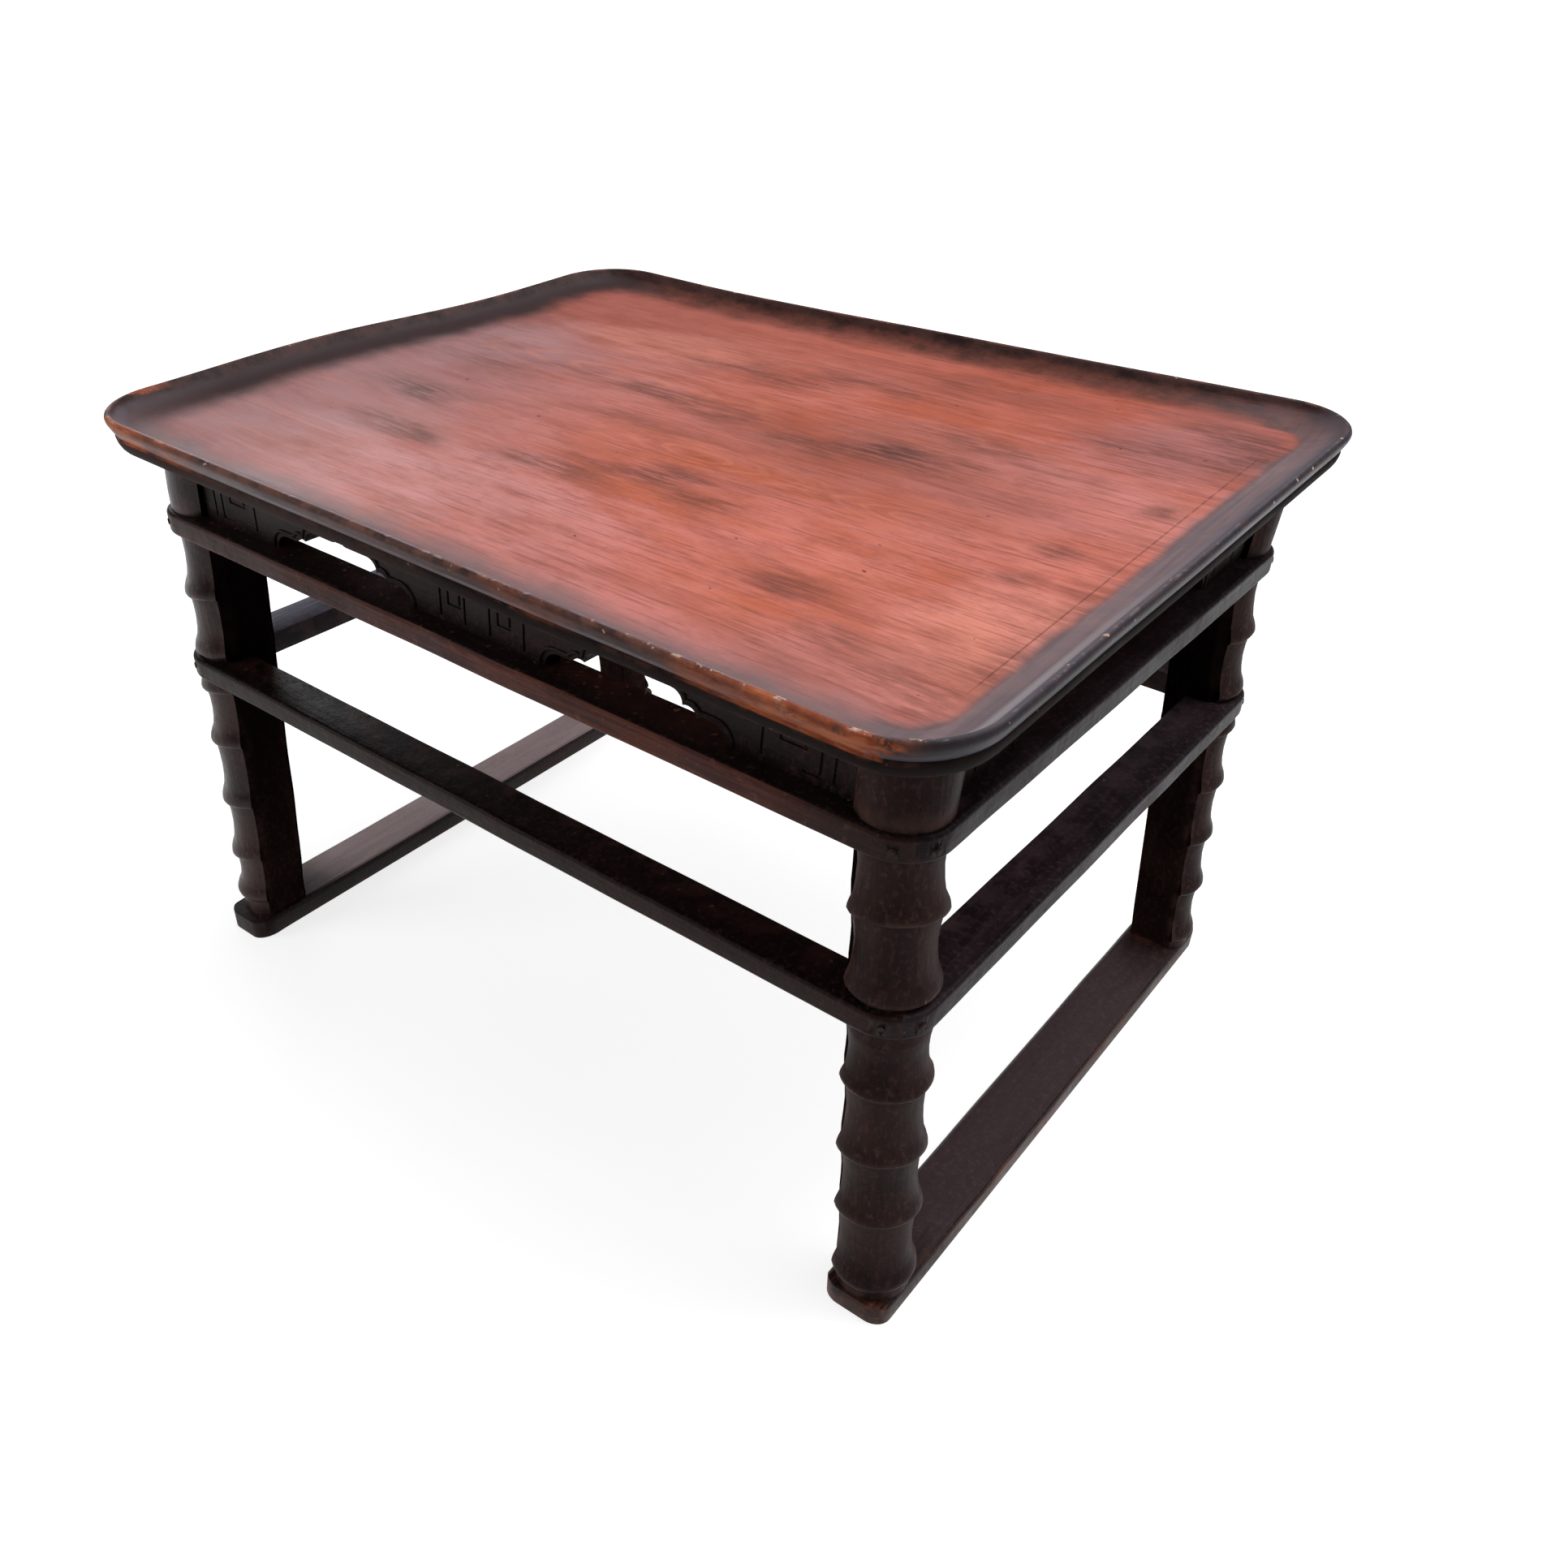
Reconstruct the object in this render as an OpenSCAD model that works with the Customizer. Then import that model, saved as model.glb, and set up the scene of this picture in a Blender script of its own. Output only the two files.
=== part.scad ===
// Korean tray table (soban): a dished tray on four bamboo carved legs.
// The legs stand on two foot rails, two mitred frames of flat rails wrap round them,
// and pierced aprons close the gap between the upper frame and the tray.
// Millimetres. The origin is on the ground under the middle of the tray,
// +X runs along the tray, +Y across it and +Z up.

/* [Overall] */
// Height from the ground to the crest of the tray's rim
table_h = 307; // [290:1:330]
// Length of the tray over its rim
tray_l = 480; // [465:1:560]
// Width of the tray over its rim
tray_w = 357; // [340:1:420]

/* [Tray] */
// Thickness from the crest of the rim to the underside
tray_t = 17; // [15:0.5:22]
// Thickness of the board under the floor
floor_t = 8.5; // [7:0.5:10]
// Radius of the tray's corners in plan
tray_r = 37; // [34:1:50]
// Radius of the round crest
crest_r = 2.5; // [1.5:0.1:3]
// Width of the cove between the crest and the floor
cove_w = 17; // [14:0.5:20]
// How far the foot of the rim sits inside the crest
rim_rake = 7.5; // [7:0.5:9]
// Radius of the bead along the foot of the rim
rim_bead_r = 4.5; // [3.5:0.25:4.75]
// How far the quirk over the bead sits inside the crest
rim_quirk = 3.2; // [2.5:0.1:4]
// Height of the quirk over the underside
rim_quirk_h = 7.2; // [6:0.1:9]

/* [Legs] */
// Distance from the end of the tray to the leg centres, at the ground
leg_inset_l = 27; // [20:1:40]
// Distance from the side of the tray to the leg centres, at the ground
leg_inset_w = 30.5; // [24:0.5:40]
// Lean of a leg toward the middle, along and across alike
leg_lean = 1.8; // [0:0.1:3]
// Radius of the plain stem
stem_r = 16.5; // [14.5:0.25:18]
// Radius of the plain post between the upper rails and the tray
post_r = 18; // [16.5:0.25:19]
// How far a bamboo ring stands proud of the stem
ring_proud = 1.9; // [1:0.1:2.6]
// Depth of the waist between two rings
waist_d = 0.6; // [0.3:0.1:1]
// Number of rings under the lower rails
low_rings = 5; // [3:1:7]
// Height of the lowest ring above the foot rail
ring_start = 7; // [3:0.5:12]
// Distance from a leg's centre to its inner edge, at the ground
heel_foot = 17; // [16:0.25:19]
// Distance from a leg's centre to its inner edge, at the tray
heel_top = 23.5; // [20:0.25:25]

/* [Rails] */
// Height of the lower rails' underside
lower_rail_z = 164; // [140:1:185]
// Clear height between the upper rails and the tray
apron_h = 35.5; // [30:0.5:45]
// Thickness of a rail
rail_t = 11.5; // [9:0.5:13]
// How far a rail wraps round the outside of a leg
wrap_t = 3.6; // [3:0.1:5]
// Width of the long rails
long_rail_w = 20.5; // [20:0.5:26]
// Width of the short rails
short_rail_w = 23.5; // [20:0.5:28]
// Radius of the rounding along a rail's outer edge
rail_nose_r = 2; // [1.5:0.25:4]
// Thickness of the foot rails
foot_t = 11; // [8:0.5:14]
// Width of the foot rails
foot_w = 32; // [30:0.5:38]
// How far a foot rail runs on past the leg
foot_over = 2.5; // [2:0.5:10]
// Radius of the foot rails' corners in plan
foot_corner_r = 9; // [5:0.5:12]
// Radius of the rounding along a foot rail's upper edges
foot_nose_r = 3; // [1:0.25:4]

/* [Aprons] */
// Thickness of the aprons
apron_t = 8.5; // [6:0.5:9]
// How far the apron's face stands outside the leg's centre
apron_set = 10.5; // [9:0.25:11.5]
// Length of each opening in a long apron
long_opening_l = 94; // [70:1:100]
// Distance between the middles of the two openings in a long apron
opening_pitch = 175; // [150:1:185]
// Length of the opening in a short apron
short_opening_l = 164; // [120:1:180]
// Height of an opening's end lobes
lobe_h = 8; // [6:0.5:10]
// Height of an opening's shoulders
shoulder_h = 16; // [14:0.5:18]
// Height of the pointed tip over the shoulders
tip_h = 5; // [3:0.5:6]
// Distance from an opening's end to its shoulder
shoulder_in = 22; // [20:0.5:26]

/* [Joinery] */
// Depth of the tongues that enter the legs
tongue_l = 8; // [5:0.5:9]
// Thickness of the rails' tongues
tongue_t = 7; // [5:0.5:7.5]
// Depth of the apron's end tongues in the legs
apron_tongue_l = 3; // [2:0.5:4]
// Depth of the apron's groove in the tray's underside
groove_d = 2.5; // [1.5:0.25:3.5]
// Width of the square tenon at a leg's foot
foot_tenon_w = 14; // [10:0.5:16]
// Width of the square tenon at a leg's top
top_tenon_w = 12; // [8:0.5:13]
// Height of the tenon at a leg's top
top_tenon_h = 3.5; // [2:0.25:4.5]
// Diameter of the bamboo pegs
peg_d = 3; // [2:0.1:4]
// Depth of the pegs in the leg, from the rail's outer edge
peg_l = 12; // [8:0.5:13]
// How far a peg stands proud of the rail
peg_proud = 0.4; // [0:0.1:1]
// Clearance on each side of a tongue, tenon or peg
fit = 0.15; // [0.05:0.05:0.3]
// Clearance between a leg and what is scribed round it
scribe = 0.2; // [0.1:0.05:0.4]

/* [Hidden] */
tray_z = table_h - tray_t;
lower_rail_top = lower_rail_z + rail_t;
upper_rail_top = tray_z - apron_h;
upper_rail_z = upper_rail_top - rail_t;
nose = stem_r + wrap_t;
ring_r = stem_r + ring_proud;
ring_over_r = 12;
ring_under_r = 2.2;
ring_gap = 1;
ring_rise = sqrt(ring_over_r * ring_over_r - pow(ring_over_r - ring_proud, 2));
heel_taper = atan((heel_top - heel_foot) / tray_z);
lean_out = atan(sqrt(2) * tan(leg_lean));
foot_l = 2 * (tray_w / 2 - leg_inset_w + stem_r + foot_over);
past = 1;
lobe_knuckle_r = 5;
shoulder_r = 6;
tip_r = tip_h;
tongue_inset = 1.5;
peg_turn = 22.5;
wood_dark = "#3a2a28";
wood_rail = "#4a3733";
floor_red = "#b5694f";
peg_tan = "#b08a5a";
$fn = 32;

// Where a leg's centre line passes height z, in the quarter where x and y are positive
function leg_x(z) = tray_l / 2 - leg_inset_l - z * tan(leg_lean);
function leg_y(z) = tray_w / 2 - leg_inset_w - z * tan(leg_lean);

// Copies a quarter's shape to the side that sx and sy name
module corner(sx, sy) {
    mirror([sx < 0 ? 1 : 0, 0, 0])
        mirror([0, sy < 0 ? 1 : 0, 0])
            children();
}

module both_ends(along_x) {
    children();
    mirror([along_x ? 1 : 0, along_x ? 0 : 1, 0]) children();
}

// Places a leg's own frame: its x axis points out along the table's diagonal
module leg_frame() {
    translate([leg_x(0), leg_y(0), 0])
        rotate([0, 0, 45])
            rotate([0, -lean_out, 0])
                children();
}

// Inner edge of a leg: two flat faces that meet at a square corner
module heel(grow, h) {
    intersection() {
        translate([-heel_foot - grow * sqrt(2), 0, 0])
            rotate([0, -heel_taper, 0])
                rotate([0, 0, -45])
                    translate([0, 0, -2 * foot_t])
                        cube([2 * ring_r, 2 * ring_r, h + 4 * foot_t]);
        translate([-2 * heel_top, -stem_r + fit - grow, -foot_t])
            cube([2 * heel_top + past, 2 * (stem_r - fit + grow), h + 2 * foot_t]);
    }
}

// Room that a leg takes up, used to scribe rails and aprons round it
module leg_room(grow) {
    leg_frame() {
        rotate([0, 0, -90])
            translate([0, 0, -foot_t])
                rotate_extrude(angle = 180)
                    square([stem_r + grow, table_h + 2 * foot_t]);
        heel(grow, table_h);
    }
}

// One bamboo ring: a long swell above and a tight turn below
module ring_profile(z) {
    translate([0, z]) {
        intersection() {
            translate([ring_r - ring_over_r, 0]) circle(ring_over_r);
            square([ring_r + past, ring_over_r]);
        }
        intersection() {
            translate([ring_r - ring_under_r, 0]) circle(ring_under_r, $fn = 16);
            translate([0, -ring_under_r]) square([ring_r + past, ring_under_r]);
        }
    }
}

// Waist between two rings: a shallow hollow of the length given
module waist_profile(z0, z1) {
    half = (z1 - z0) / 2;
    r = half * half / (2 * waist_d) + waist_d / 2;
    translate([stem_r - waist_d + r, (z0 + z1) / 2]) circle(r, $fn = 120);
}

low_top = lower_rail_z - ring_rise - ring_gap;
low_step = (low_top - foot_t - ring_start) / (low_rings - 1);
low_ring_z = [for (i = [0:low_rings - 1]) foot_t + ring_start + i * low_step];
high_start = lower_rail_top + ring_under_r + ring_gap;
high_ring_z = [high_start, (high_start + upper_rail_z) / 2];

module stem_profile() {
    difference() {
        union() {
            translate([0, -foot_t]) square([stem_r, table_h + foot_t]);
            for (z = low_ring_z) ring_profile(z);
            for (z = high_ring_z) ring_profile(z);
        }
        for (i = [1:low_rings - 1])
            waist_profile(low_ring_z[i - 1] + ring_rise, low_ring_z[i] - ring_under_r);
        waist_profile(high_ring_z[0] + ring_rise, high_ring_z[1] - ring_under_r);
        waist_profile(high_ring_z[1] + ring_rise, upper_rail_z);
    }
}

// Tongue of a rail, entering the leg's flat face
module long_tongue(z, grow) {
    x1 = leg_x(z + rail_t / 2) - heel_foot / sqrt(2);
    y0 = leg_y(z + rail_t / 2) + nose - long_rail_w + tongue_inset;
    translate([x1 - heel_top / 2, y0 - grow, z + rail_t / 4 - grow])
        cube([heel_top / 2 + tongue_l + grow, tongue_t + 2 * grow, rail_t / 2 + 2 * grow]);
}

module short_tongue(z, grow) {
    x0 = leg_x(z + rail_t / 2) + nose - short_rail_w + tongue_inset;
    y1 = leg_y(z + rail_t / 2) - heel_foot / sqrt(2);
    translate([x0 - grow, y1 - heel_top / 2, z + rail_t / 4 - grow])
        cube([tongue_t + 2 * grow, heel_top / 2 + tongue_l + grow, rail_t / 2 + 2 * grow]);
}

// End tongues of the aprons, half the board thick
module long_apron_tongue(grow) {
    z = upper_rail_top + apron_h / 2;
    x1 = leg_x(z) - heel_foot / sqrt(2);
    y0 = leg_y(z) + apron_set - 3 * apron_t / 4;
    translate([x1 - heel_top / 2, y0 - grow, upper_rail_top + apron_h / 4 - grow])
        cube([heel_top / 2 + apron_tongue_l + grow, apron_t / 2 + 2 * grow, apron_h / 2 + 2 * grow]);
}

module short_apron_tongue(grow) {
    z = upper_rail_top + apron_h / 2;
    x0 = leg_x(z) + apron_set - 3 * apron_t / 4;
    y1 = leg_y(z) - heel_foot / sqrt(2);
    translate([x0 - grow, y1 - heel_top / 2, upper_rail_top + apron_h / 4 - grow])
        cube([apron_t / 2 + 2 * grow, heel_top / 2 + apron_tongue_l + grow, apron_h / 2 + 2 * grow]);
}

// Two pegs at one corner of a frame of rails, one for each rail
module peg_pair(z, grow) {
    for (turn = [45 - peg_turn, 45 + peg_turn])
        translate([leg_x(z + rail_t / 2), leg_y(z + rail_t / 2), z + rail_t / 2])
            rotate([0, 0, turn])
                translate([nose - peg_l - grow, 0, 0])
                    rotate([0, 90, 0])
                        cylinder(h = peg_l + peg_proud + 2 * grow, d = peg_d + 2 * grow, $fn = 20);
}

module foot_tenon(grow) {
    w = foot_tenon_w + 2 * grow;
    translate([leg_x(0) - w / 2, leg_y(0) - w / 2, -past * (grow > 0 ? 1 : 0)])
        cube([w, w, foot_t + 2 * past]);
}

module top_tenon(grow) {
    w = top_tenon_w + 2 * grow;
    translate([leg_x(tray_z) - w / 2, leg_y(tray_z) - w / 2, tray_z - past])
        cube([w, w, top_tenon_h + past + grow]);
}

module leg(sx, sy) {
    corner(sx, sy) color(wood_dark) difference() {
        union() {
            intersection() {
                leg_frame() {
                    rotate([0, 0, -90]) rotate_extrude(angle = 180) stem_profile();
                    heel(0, table_h);
                }
                translate([0, 0, foot_t]) cube([tray_l, tray_w, tray_z - foot_t]);
            }
            intersection() {
                leg_frame() rotate([0, 0, -90]) rotate_extrude(angle = 180) square([post_r, table_h]);
                translate([0, 0, upper_rail_top]) cube([tray_l, tray_w, apron_h]);
            }
            foot_tenon(0);
            top_tenon(0);
        }
        for (z = [lower_rail_z, upper_rail_z]) {
            long_tongue(z, fit);
            short_tongue(z, fit);
            peg_pair(z, fit);
        }
        long_apron_tongue(fit);
        short_apron_tongue(fit);
    }
}

// Section of a rail: flat, with a rounded outer edge. The zero is the leg's centre.
module rail_section(w) {
    translate([nose - w, 0]) square([w - rail_nose_r, rail_t]);
    translate([nose - w, rail_nose_r]) square([w, rail_t - 2 * rail_nose_r]);
    for (z = [rail_nose_r, rail_t - rail_nose_r])
        translate([nose - rail_nose_r, z]) circle(rail_nose_r);
}

module wrap_section() {
    intersection() {
        rail_section(nose);
        square([nose + past, rail_t]);
    }
}

// A straight bar along Y with an eighth of a turn at each end, mitred on the diagonal
module rail_blank(off, half_l, z, w) {
    both_ends(false) translate([off, half_l, z]) {
        rotate([90, 0, 0]) linear_extrude(half_l + past) rail_section(w);
        rotate_extrude(angle = 45) wrap_section();
    }
}

// Long rail of the frame at height z, on the side where y is positive
module long_rail(z) {
    mid = z + rail_t / 2;
    difference() {
        mirror([1, -1, 0]) rail_blank(leg_y(mid), leg_x(mid), z, long_rail_w);
        both_ends(true) leg_room(scribe);
        both_ends(true) peg_pair(z, fit);
    }
    both_ends(true) long_tongue(z, 0);
}

// Short rail of the frame at height z, on the side where x is positive
module short_rail(z) {
    mid = z + rail_t / 2;
    difference() {
        rail_blank(leg_x(mid), leg_y(mid), z, short_rail_w);
        both_ends(false) leg_room(scribe);
        both_ends(false) peg_pair(z, fit);
    }
    both_ends(false) short_tongue(z, 0);
}

// Outline of a pierced opening, cloud shaped with a pointed tip, standing on the rail
module cloud_opening(l) {
    mid = l / 2 - shoulder_in;
    translate([-l / 2 + lobe_h, 0]) square([l - 2 * lobe_h, lobe_h]);
    translate([-mid, 0]) square([2 * mid, shoulder_h - shoulder_r]);
    translate([-mid + shoulder_r, 0]) square([2 * (mid - shoulder_r), shoulder_h]);
    for (s = [-1, 1]) {
        translate([s * (l / 2 - lobe_h), 0]) circle(lobe_h);
        translate([s * (mid + lobe_knuckle_r / 2), lobe_h - lobe_knuckle_r / 2]) circle(lobe_knuckle_r);
        translate([s * (mid - shoulder_r), shoulder_h - shoulder_r]) circle(shoulder_r);
    }
    translate([0, shoulder_h]) difference() {
        translate([-tip_r, -past]) square([2 * tip_r, tip_h + past]);
        for (s = [-1, 1]) translate([s * tip_r, tip_h]) circle(tip_r);
    }
}

module long_apron(sy) {
    z = upper_rail_top + apron_h / 2;
    corner(1, sy) color(wood_rail) {
        difference() {
            translate([-leg_x(z), leg_y(z) + apron_set - apron_t, upper_rail_top])
                cube([2 * leg_x(z), apron_t, apron_h + groove_d]);
            both_ends(true) leg_room(scribe);
            for (s = [-1, 1])
                translate([s * opening_pitch / 2, leg_y(z) + apron_set + past, upper_rail_top])
                    rotate([90, 0, 0]) linear_extrude(apron_t + 2 * past)
                        cloud_opening(long_opening_l);
        }
        both_ends(true) long_apron_tongue(0);
    }
}

module short_apron(sx) {
    z = upper_rail_top + apron_h / 2;
    corner(sx, 1) color(wood_rail) {
        difference() {
            translate([leg_x(z) + apron_set - apron_t, -leg_y(z), upper_rail_top])
                cube([apron_t, 2 * leg_y(z), apron_h + groove_d]);
            both_ends(false) leg_room(scribe);
            translate([leg_x(z) + apron_set - apron_t - past, 0, upper_rail_top])
                rotate([90, 0, 90]) linear_extrude(apron_t + 2 * past)
                    cloud_opening(short_opening_l);
        }
        both_ends(false) short_apron_tongue(0);
    }
}

// Section of the tray from the centre of a corner's arc out to the crest
module tray_section() {
    depth = tray_t - floor_t;
    cove_r = (depth * depth + cove_w * cove_w) / (2 * depth);
    cove_x = tray_r - crest_r - cove_w;
    difference() {
        union() {
            polygon([
                [0, 0], [tray_r - rim_rake, 0], [tray_r - rim_rake, rim_bead_r],
                [tray_r - rim_quirk, rim_quirk_h], [tray_r, tray_t - crest_r],
                [tray_r - crest_r, tray_t], [0, tray_t]
            ]);
            translate([tray_r - rim_rake, rim_bead_r]) circle(rim_bead_r);
            translate([tray_r - crest_r, tray_t - crest_r]) circle(crest_r);
        }
        translate([-past, floor_t]) square([cove_x + past, tray_t]);
        translate([cove_x, floor_t + cove_r]) circle(cove_r, $fn = 64);
    }
}

module tray_blank() {
    run_l = tray_l - 2 * tray_r;
    run_w = tray_w - 2 * tray_r;
    translate([-run_l / 2, -run_w / 2, 0]) cube([run_l, run_w, floor_t]);
    for (sx = [-1, 1], sy = [-1, 1]) corner(sx, sy) translate([run_l / 2, run_w / 2, 0]) {
        rotate([90, 0, -90]) mirror([1, 0, 0]) linear_extrude(run_l / 2 + past) tray_section();
        rotate([90, 0, 0]) linear_extrude(run_w / 2 + past) tray_section();
        rotate_extrude(angle = 90, $fn = 48) tray_section();
    }
}

module tray_top() {
    z = upper_rail_top + apron_h / 2;
    groove_w = apron_t + 2 * fit;
    color(floor_red) difference() {
        translate([0, 0, tray_z]) tray_blank();
        for (sy = [-1, 1]) corner(1, sy)
            translate([-leg_x(z), leg_y(z) + apron_set - apron_t - fit, tray_z - past])
                cube([2 * leg_x(z), groove_w, groove_d + past + fit]);
        for (sx = [-1, 1]) corner(sx, 1)
            translate([leg_x(z) + apron_set - apron_t - fit, -leg_y(z), tray_z - past])
                cube([groove_w, 2 * leg_y(z), groove_d + past + fit]);
        for (sx = [-1, 1], sy = [-1, 1]) corner(sx, sy) top_tenon(fit);
    }
}

// Foot rail under the two legs of one short side
module foot_rail(sx) {
    corner(sx, 1) color(wood_rail) difference() {
        translate([leg_x(0), 0, 0]) intersection() {
            translate([0, foot_l / 2, 0]) rotate([90, 0, 0]) linear_extrude(foot_l) {
                translate([-foot_w / 2, 0]) square([foot_w, foot_t - foot_nose_r]);
                translate([-foot_w / 2 + foot_nose_r, 0]) square([foot_w - 2 * foot_nose_r, foot_t]);
                for (s = [-1, 1])
                    translate([s * (foot_w / 2 - foot_nose_r), foot_t - foot_nose_r]) circle(foot_nose_r);
            }
            linear_extrude(foot_t) {
                translate([-foot_w / 2 + foot_corner_r, -foot_l / 2])
                    square([foot_w - 2 * foot_corner_r, foot_l]);
                translate([-foot_w / 2, -foot_l / 2 + foot_corner_r])
                    square([foot_w, foot_l - 2 * foot_corner_r]);
                for (s = [-1, 1], t = [-1, 1])
                    translate([s * (foot_w / 2 - foot_corner_r), t * (foot_l / 2 - foot_corner_r)])
                        circle(foot_corner_r);
            }
        }
        both_ends(false) foot_tenon(fit);
    }
}

module rail_pegs(z) {
    color(peg_tan) for (sx = [-1, 1], sy = [-1, 1]) corner(sx, sy) peg_pair(z, 0);
}

tray_top();
leg(-1, -1);  // leg_front_left
leg(1, -1);  // leg_front_right
leg(-1, 1);  // leg_back_left
leg(1, 1);  // leg_back_right
long_apron(-1);  // apron_front
long_apron(1);  // apron_back
short_apron(-1);  // apron_left
short_apron(1);  // apron_right
corner(1, -1) color(wood_rail) long_rail(upper_rail_z);  // upper_rail_front
color(wood_rail) long_rail(upper_rail_z);  // upper_rail_back
corner(-1, 1) color(wood_rail) short_rail(upper_rail_z);  // upper_rail_left
color(wood_rail) short_rail(upper_rail_z);  // upper_rail_right
corner(1, -1) color(wood_rail) long_rail(lower_rail_z);  // lower_rail_front
color(wood_rail) long_rail(lower_rail_z);  // lower_rail_back
corner(-1, 1) color(wood_rail) short_rail(lower_rail_z);  // lower_rail_left
color(wood_rail) short_rail(lower_rail_z);  // lower_rail_right
foot_rail(-1);  // foot_rail_left
foot_rail(1);  // foot_rail_right
rail_pegs(upper_rail_z);  // upper_rail_pegs
rail_pegs(lower_rail_z);  // lower_rail_pegs
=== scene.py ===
import math

import bmesh
import bpy
from mathutils import Matrix, Vector, noise


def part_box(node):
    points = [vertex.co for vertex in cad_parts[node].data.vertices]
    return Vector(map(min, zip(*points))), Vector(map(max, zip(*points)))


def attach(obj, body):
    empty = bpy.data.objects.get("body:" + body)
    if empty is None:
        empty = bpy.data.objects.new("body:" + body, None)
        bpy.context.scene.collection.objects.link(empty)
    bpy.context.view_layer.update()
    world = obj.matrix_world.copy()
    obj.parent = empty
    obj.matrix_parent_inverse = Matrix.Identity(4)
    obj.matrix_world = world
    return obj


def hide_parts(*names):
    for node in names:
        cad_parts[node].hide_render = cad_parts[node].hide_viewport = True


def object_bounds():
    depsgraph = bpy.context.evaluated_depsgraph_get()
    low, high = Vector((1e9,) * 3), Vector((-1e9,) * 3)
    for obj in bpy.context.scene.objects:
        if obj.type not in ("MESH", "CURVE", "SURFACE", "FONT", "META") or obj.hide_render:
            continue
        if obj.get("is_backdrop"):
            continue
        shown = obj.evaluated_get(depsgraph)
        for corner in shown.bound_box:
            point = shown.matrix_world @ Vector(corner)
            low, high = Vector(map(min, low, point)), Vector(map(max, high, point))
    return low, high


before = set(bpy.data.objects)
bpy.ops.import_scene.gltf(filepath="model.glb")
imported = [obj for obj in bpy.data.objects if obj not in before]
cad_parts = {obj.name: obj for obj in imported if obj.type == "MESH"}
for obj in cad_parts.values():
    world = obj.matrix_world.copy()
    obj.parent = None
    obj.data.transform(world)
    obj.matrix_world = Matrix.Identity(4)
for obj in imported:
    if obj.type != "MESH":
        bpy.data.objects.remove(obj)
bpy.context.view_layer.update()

mm = 0.001

# Camera
# The table is seen from its front right corner and from above, half a metre over the
# ground, through a lens that is a little wide.
eye = Vector((396.5, -463.1, 515.7)) * mm
turned, tilted, rolled = (math.radians(a) for a in (36.941, 34.241, 1.256))
look = Vector((-math.sin(turned) * math.cos(tilted), math.cos(turned) * math.cos(tilted), -math.sin(tilted)))
level = Vector((math.cos(turned), math.sin(turned), 0))
upward = level.cross(look)
bpy.ops.object.select_all(action="DESELECT")
bpy.ops.object.camera_add()
camera = bpy.context.object
camera.name = "camera"
camera.matrix_world = Matrix.Translation(eye) @ Matrix((
    level * math.cos(rolled) + upward * math.sin(rolled),
    upward * math.cos(rolled) - level * math.sin(rolled),
    -look,
)).transposed().to_4x4()
camera.data.sensor_width = 36
camera.data.lens = 30.64
bpy.context.scene.camera = camera

# Tray
# One board of soft wood, hollowed by hand to leave a raised rim with a cove inside and a
# bead along its foot. Red lacquer worn thin on the floor, dark lacquer on the rim.
tray_l, tray_w, corner = 480, 357, 37
underside, floor_up, rail_top = 290, 8.5, 254.5
corner_x, corner_y = tray_l / 2 - corner, tray_w / 2 - corner
# Section of the rim: distance out from the middle of a corner's arc, and height over the underside
rim_section = [
    (17.5, 8.5), (20.3, 8.69), (23, 9.22), (25.6, 10.1), (28.1, 11.35), (30.4, 12.95), (32.3, 14.75),
    (33.6, 16.2), (34.3, 16.8), (35.1, 17), (35.9, 16.8), (36.6, 16.2), (37, 15.2), (36.9, 14.2),
    (36.4, 12.8), (35.6, 11.2), (34.8, 9.7), (34.1, 8.6), (33.85, 8.15), (34.15, 7.6), (34.3, 6.7), (34.1, 5.3),
    (33.6, 3.7), (32.9, 2.2), (32, 1.1), (30.9, 0.35), (29.5, 0), (25, 0), (20, 0), (17.5, 0),
]


def trace(name, points):
    """Draws a line of edges from point to point and leaves it open for more work."""
    bpy.ops.object.select_all(action="DESELECT")
    bpy.ops.mesh.primitive_plane_add(size=mm, location=points[0])
    piece = bpy.context.object
    piece.name = name
    bpy.ops.object.mode_set(mode="EDIT")
    bpy.ops.mesh.select_mode(type="VERT")
    bpy.ops.mesh.merge(type="CENTER")
    for a, b in zip(points, points[1:]):
        bpy.ops.mesh.extrude_region_move(TRANSFORM_OT_translate={"value": b - a})
    bpy.ops.mesh.select_all(action="SELECT")
    return piece


def run_on(offset, steps):
    """Draws the selected section on in a straight line, in equal steps."""
    for _ in range(steps):
        bpy.ops.mesh.extrude_region_move(TRANSFORM_OT_translate={"value": Vector(offset) / steps})


def pick_edges(piece, wanted):
    """Selects the edges that pass a test, and nothing else."""
    bpy.ops.mesh.select_all(action="DESELECT")
    work = bmesh.from_edit_mesh(piece.data)
    bpy.ops.mesh.select_mode(type="EDGE")
    for edge in work.edges:
        if wanted(edge):
            edge.select_set(True)
    bmesh.update_edit_mesh(piece.data)


def close_up(piece, merge=0.02 * mm):
    """Merges doubles, turns the faces outward and puts the piece's origin on the table's."""
    bpy.ops.mesh.select_all(action="SELECT")
    bpy.ops.mesh.remove_doubles(threshold=merge)
    bpy.ops.mesh.normals_make_consistent(inside=False)
    bpy.ops.object.mode_set(mode="OBJECT")
    bpy.ops.object.transform_apply(location=True, rotation=True, scale=True)


def mark_wear(piece, low=16, high=30):
    """Marks the arrises that stand proud by low to high degrees, where hands have rubbed them."""
    shortest = 0.8 * mm
    work = bmesh.new()
    work.from_mesh(piece.data)
    wear = []
    for v in work.verts:
        turn = max((math.degrees(e.calc_face_angle_signed(0)) for e in v.link_edges
                    if e.calc_length() > shortest), default=0)
        wear.append(min(max((turn - low) / (high - low), 0), 1))
    work.free()
    piece.data.attributes.new("wear", "FLOAT", "POINT").data.foreach_set("value", wear)


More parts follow.
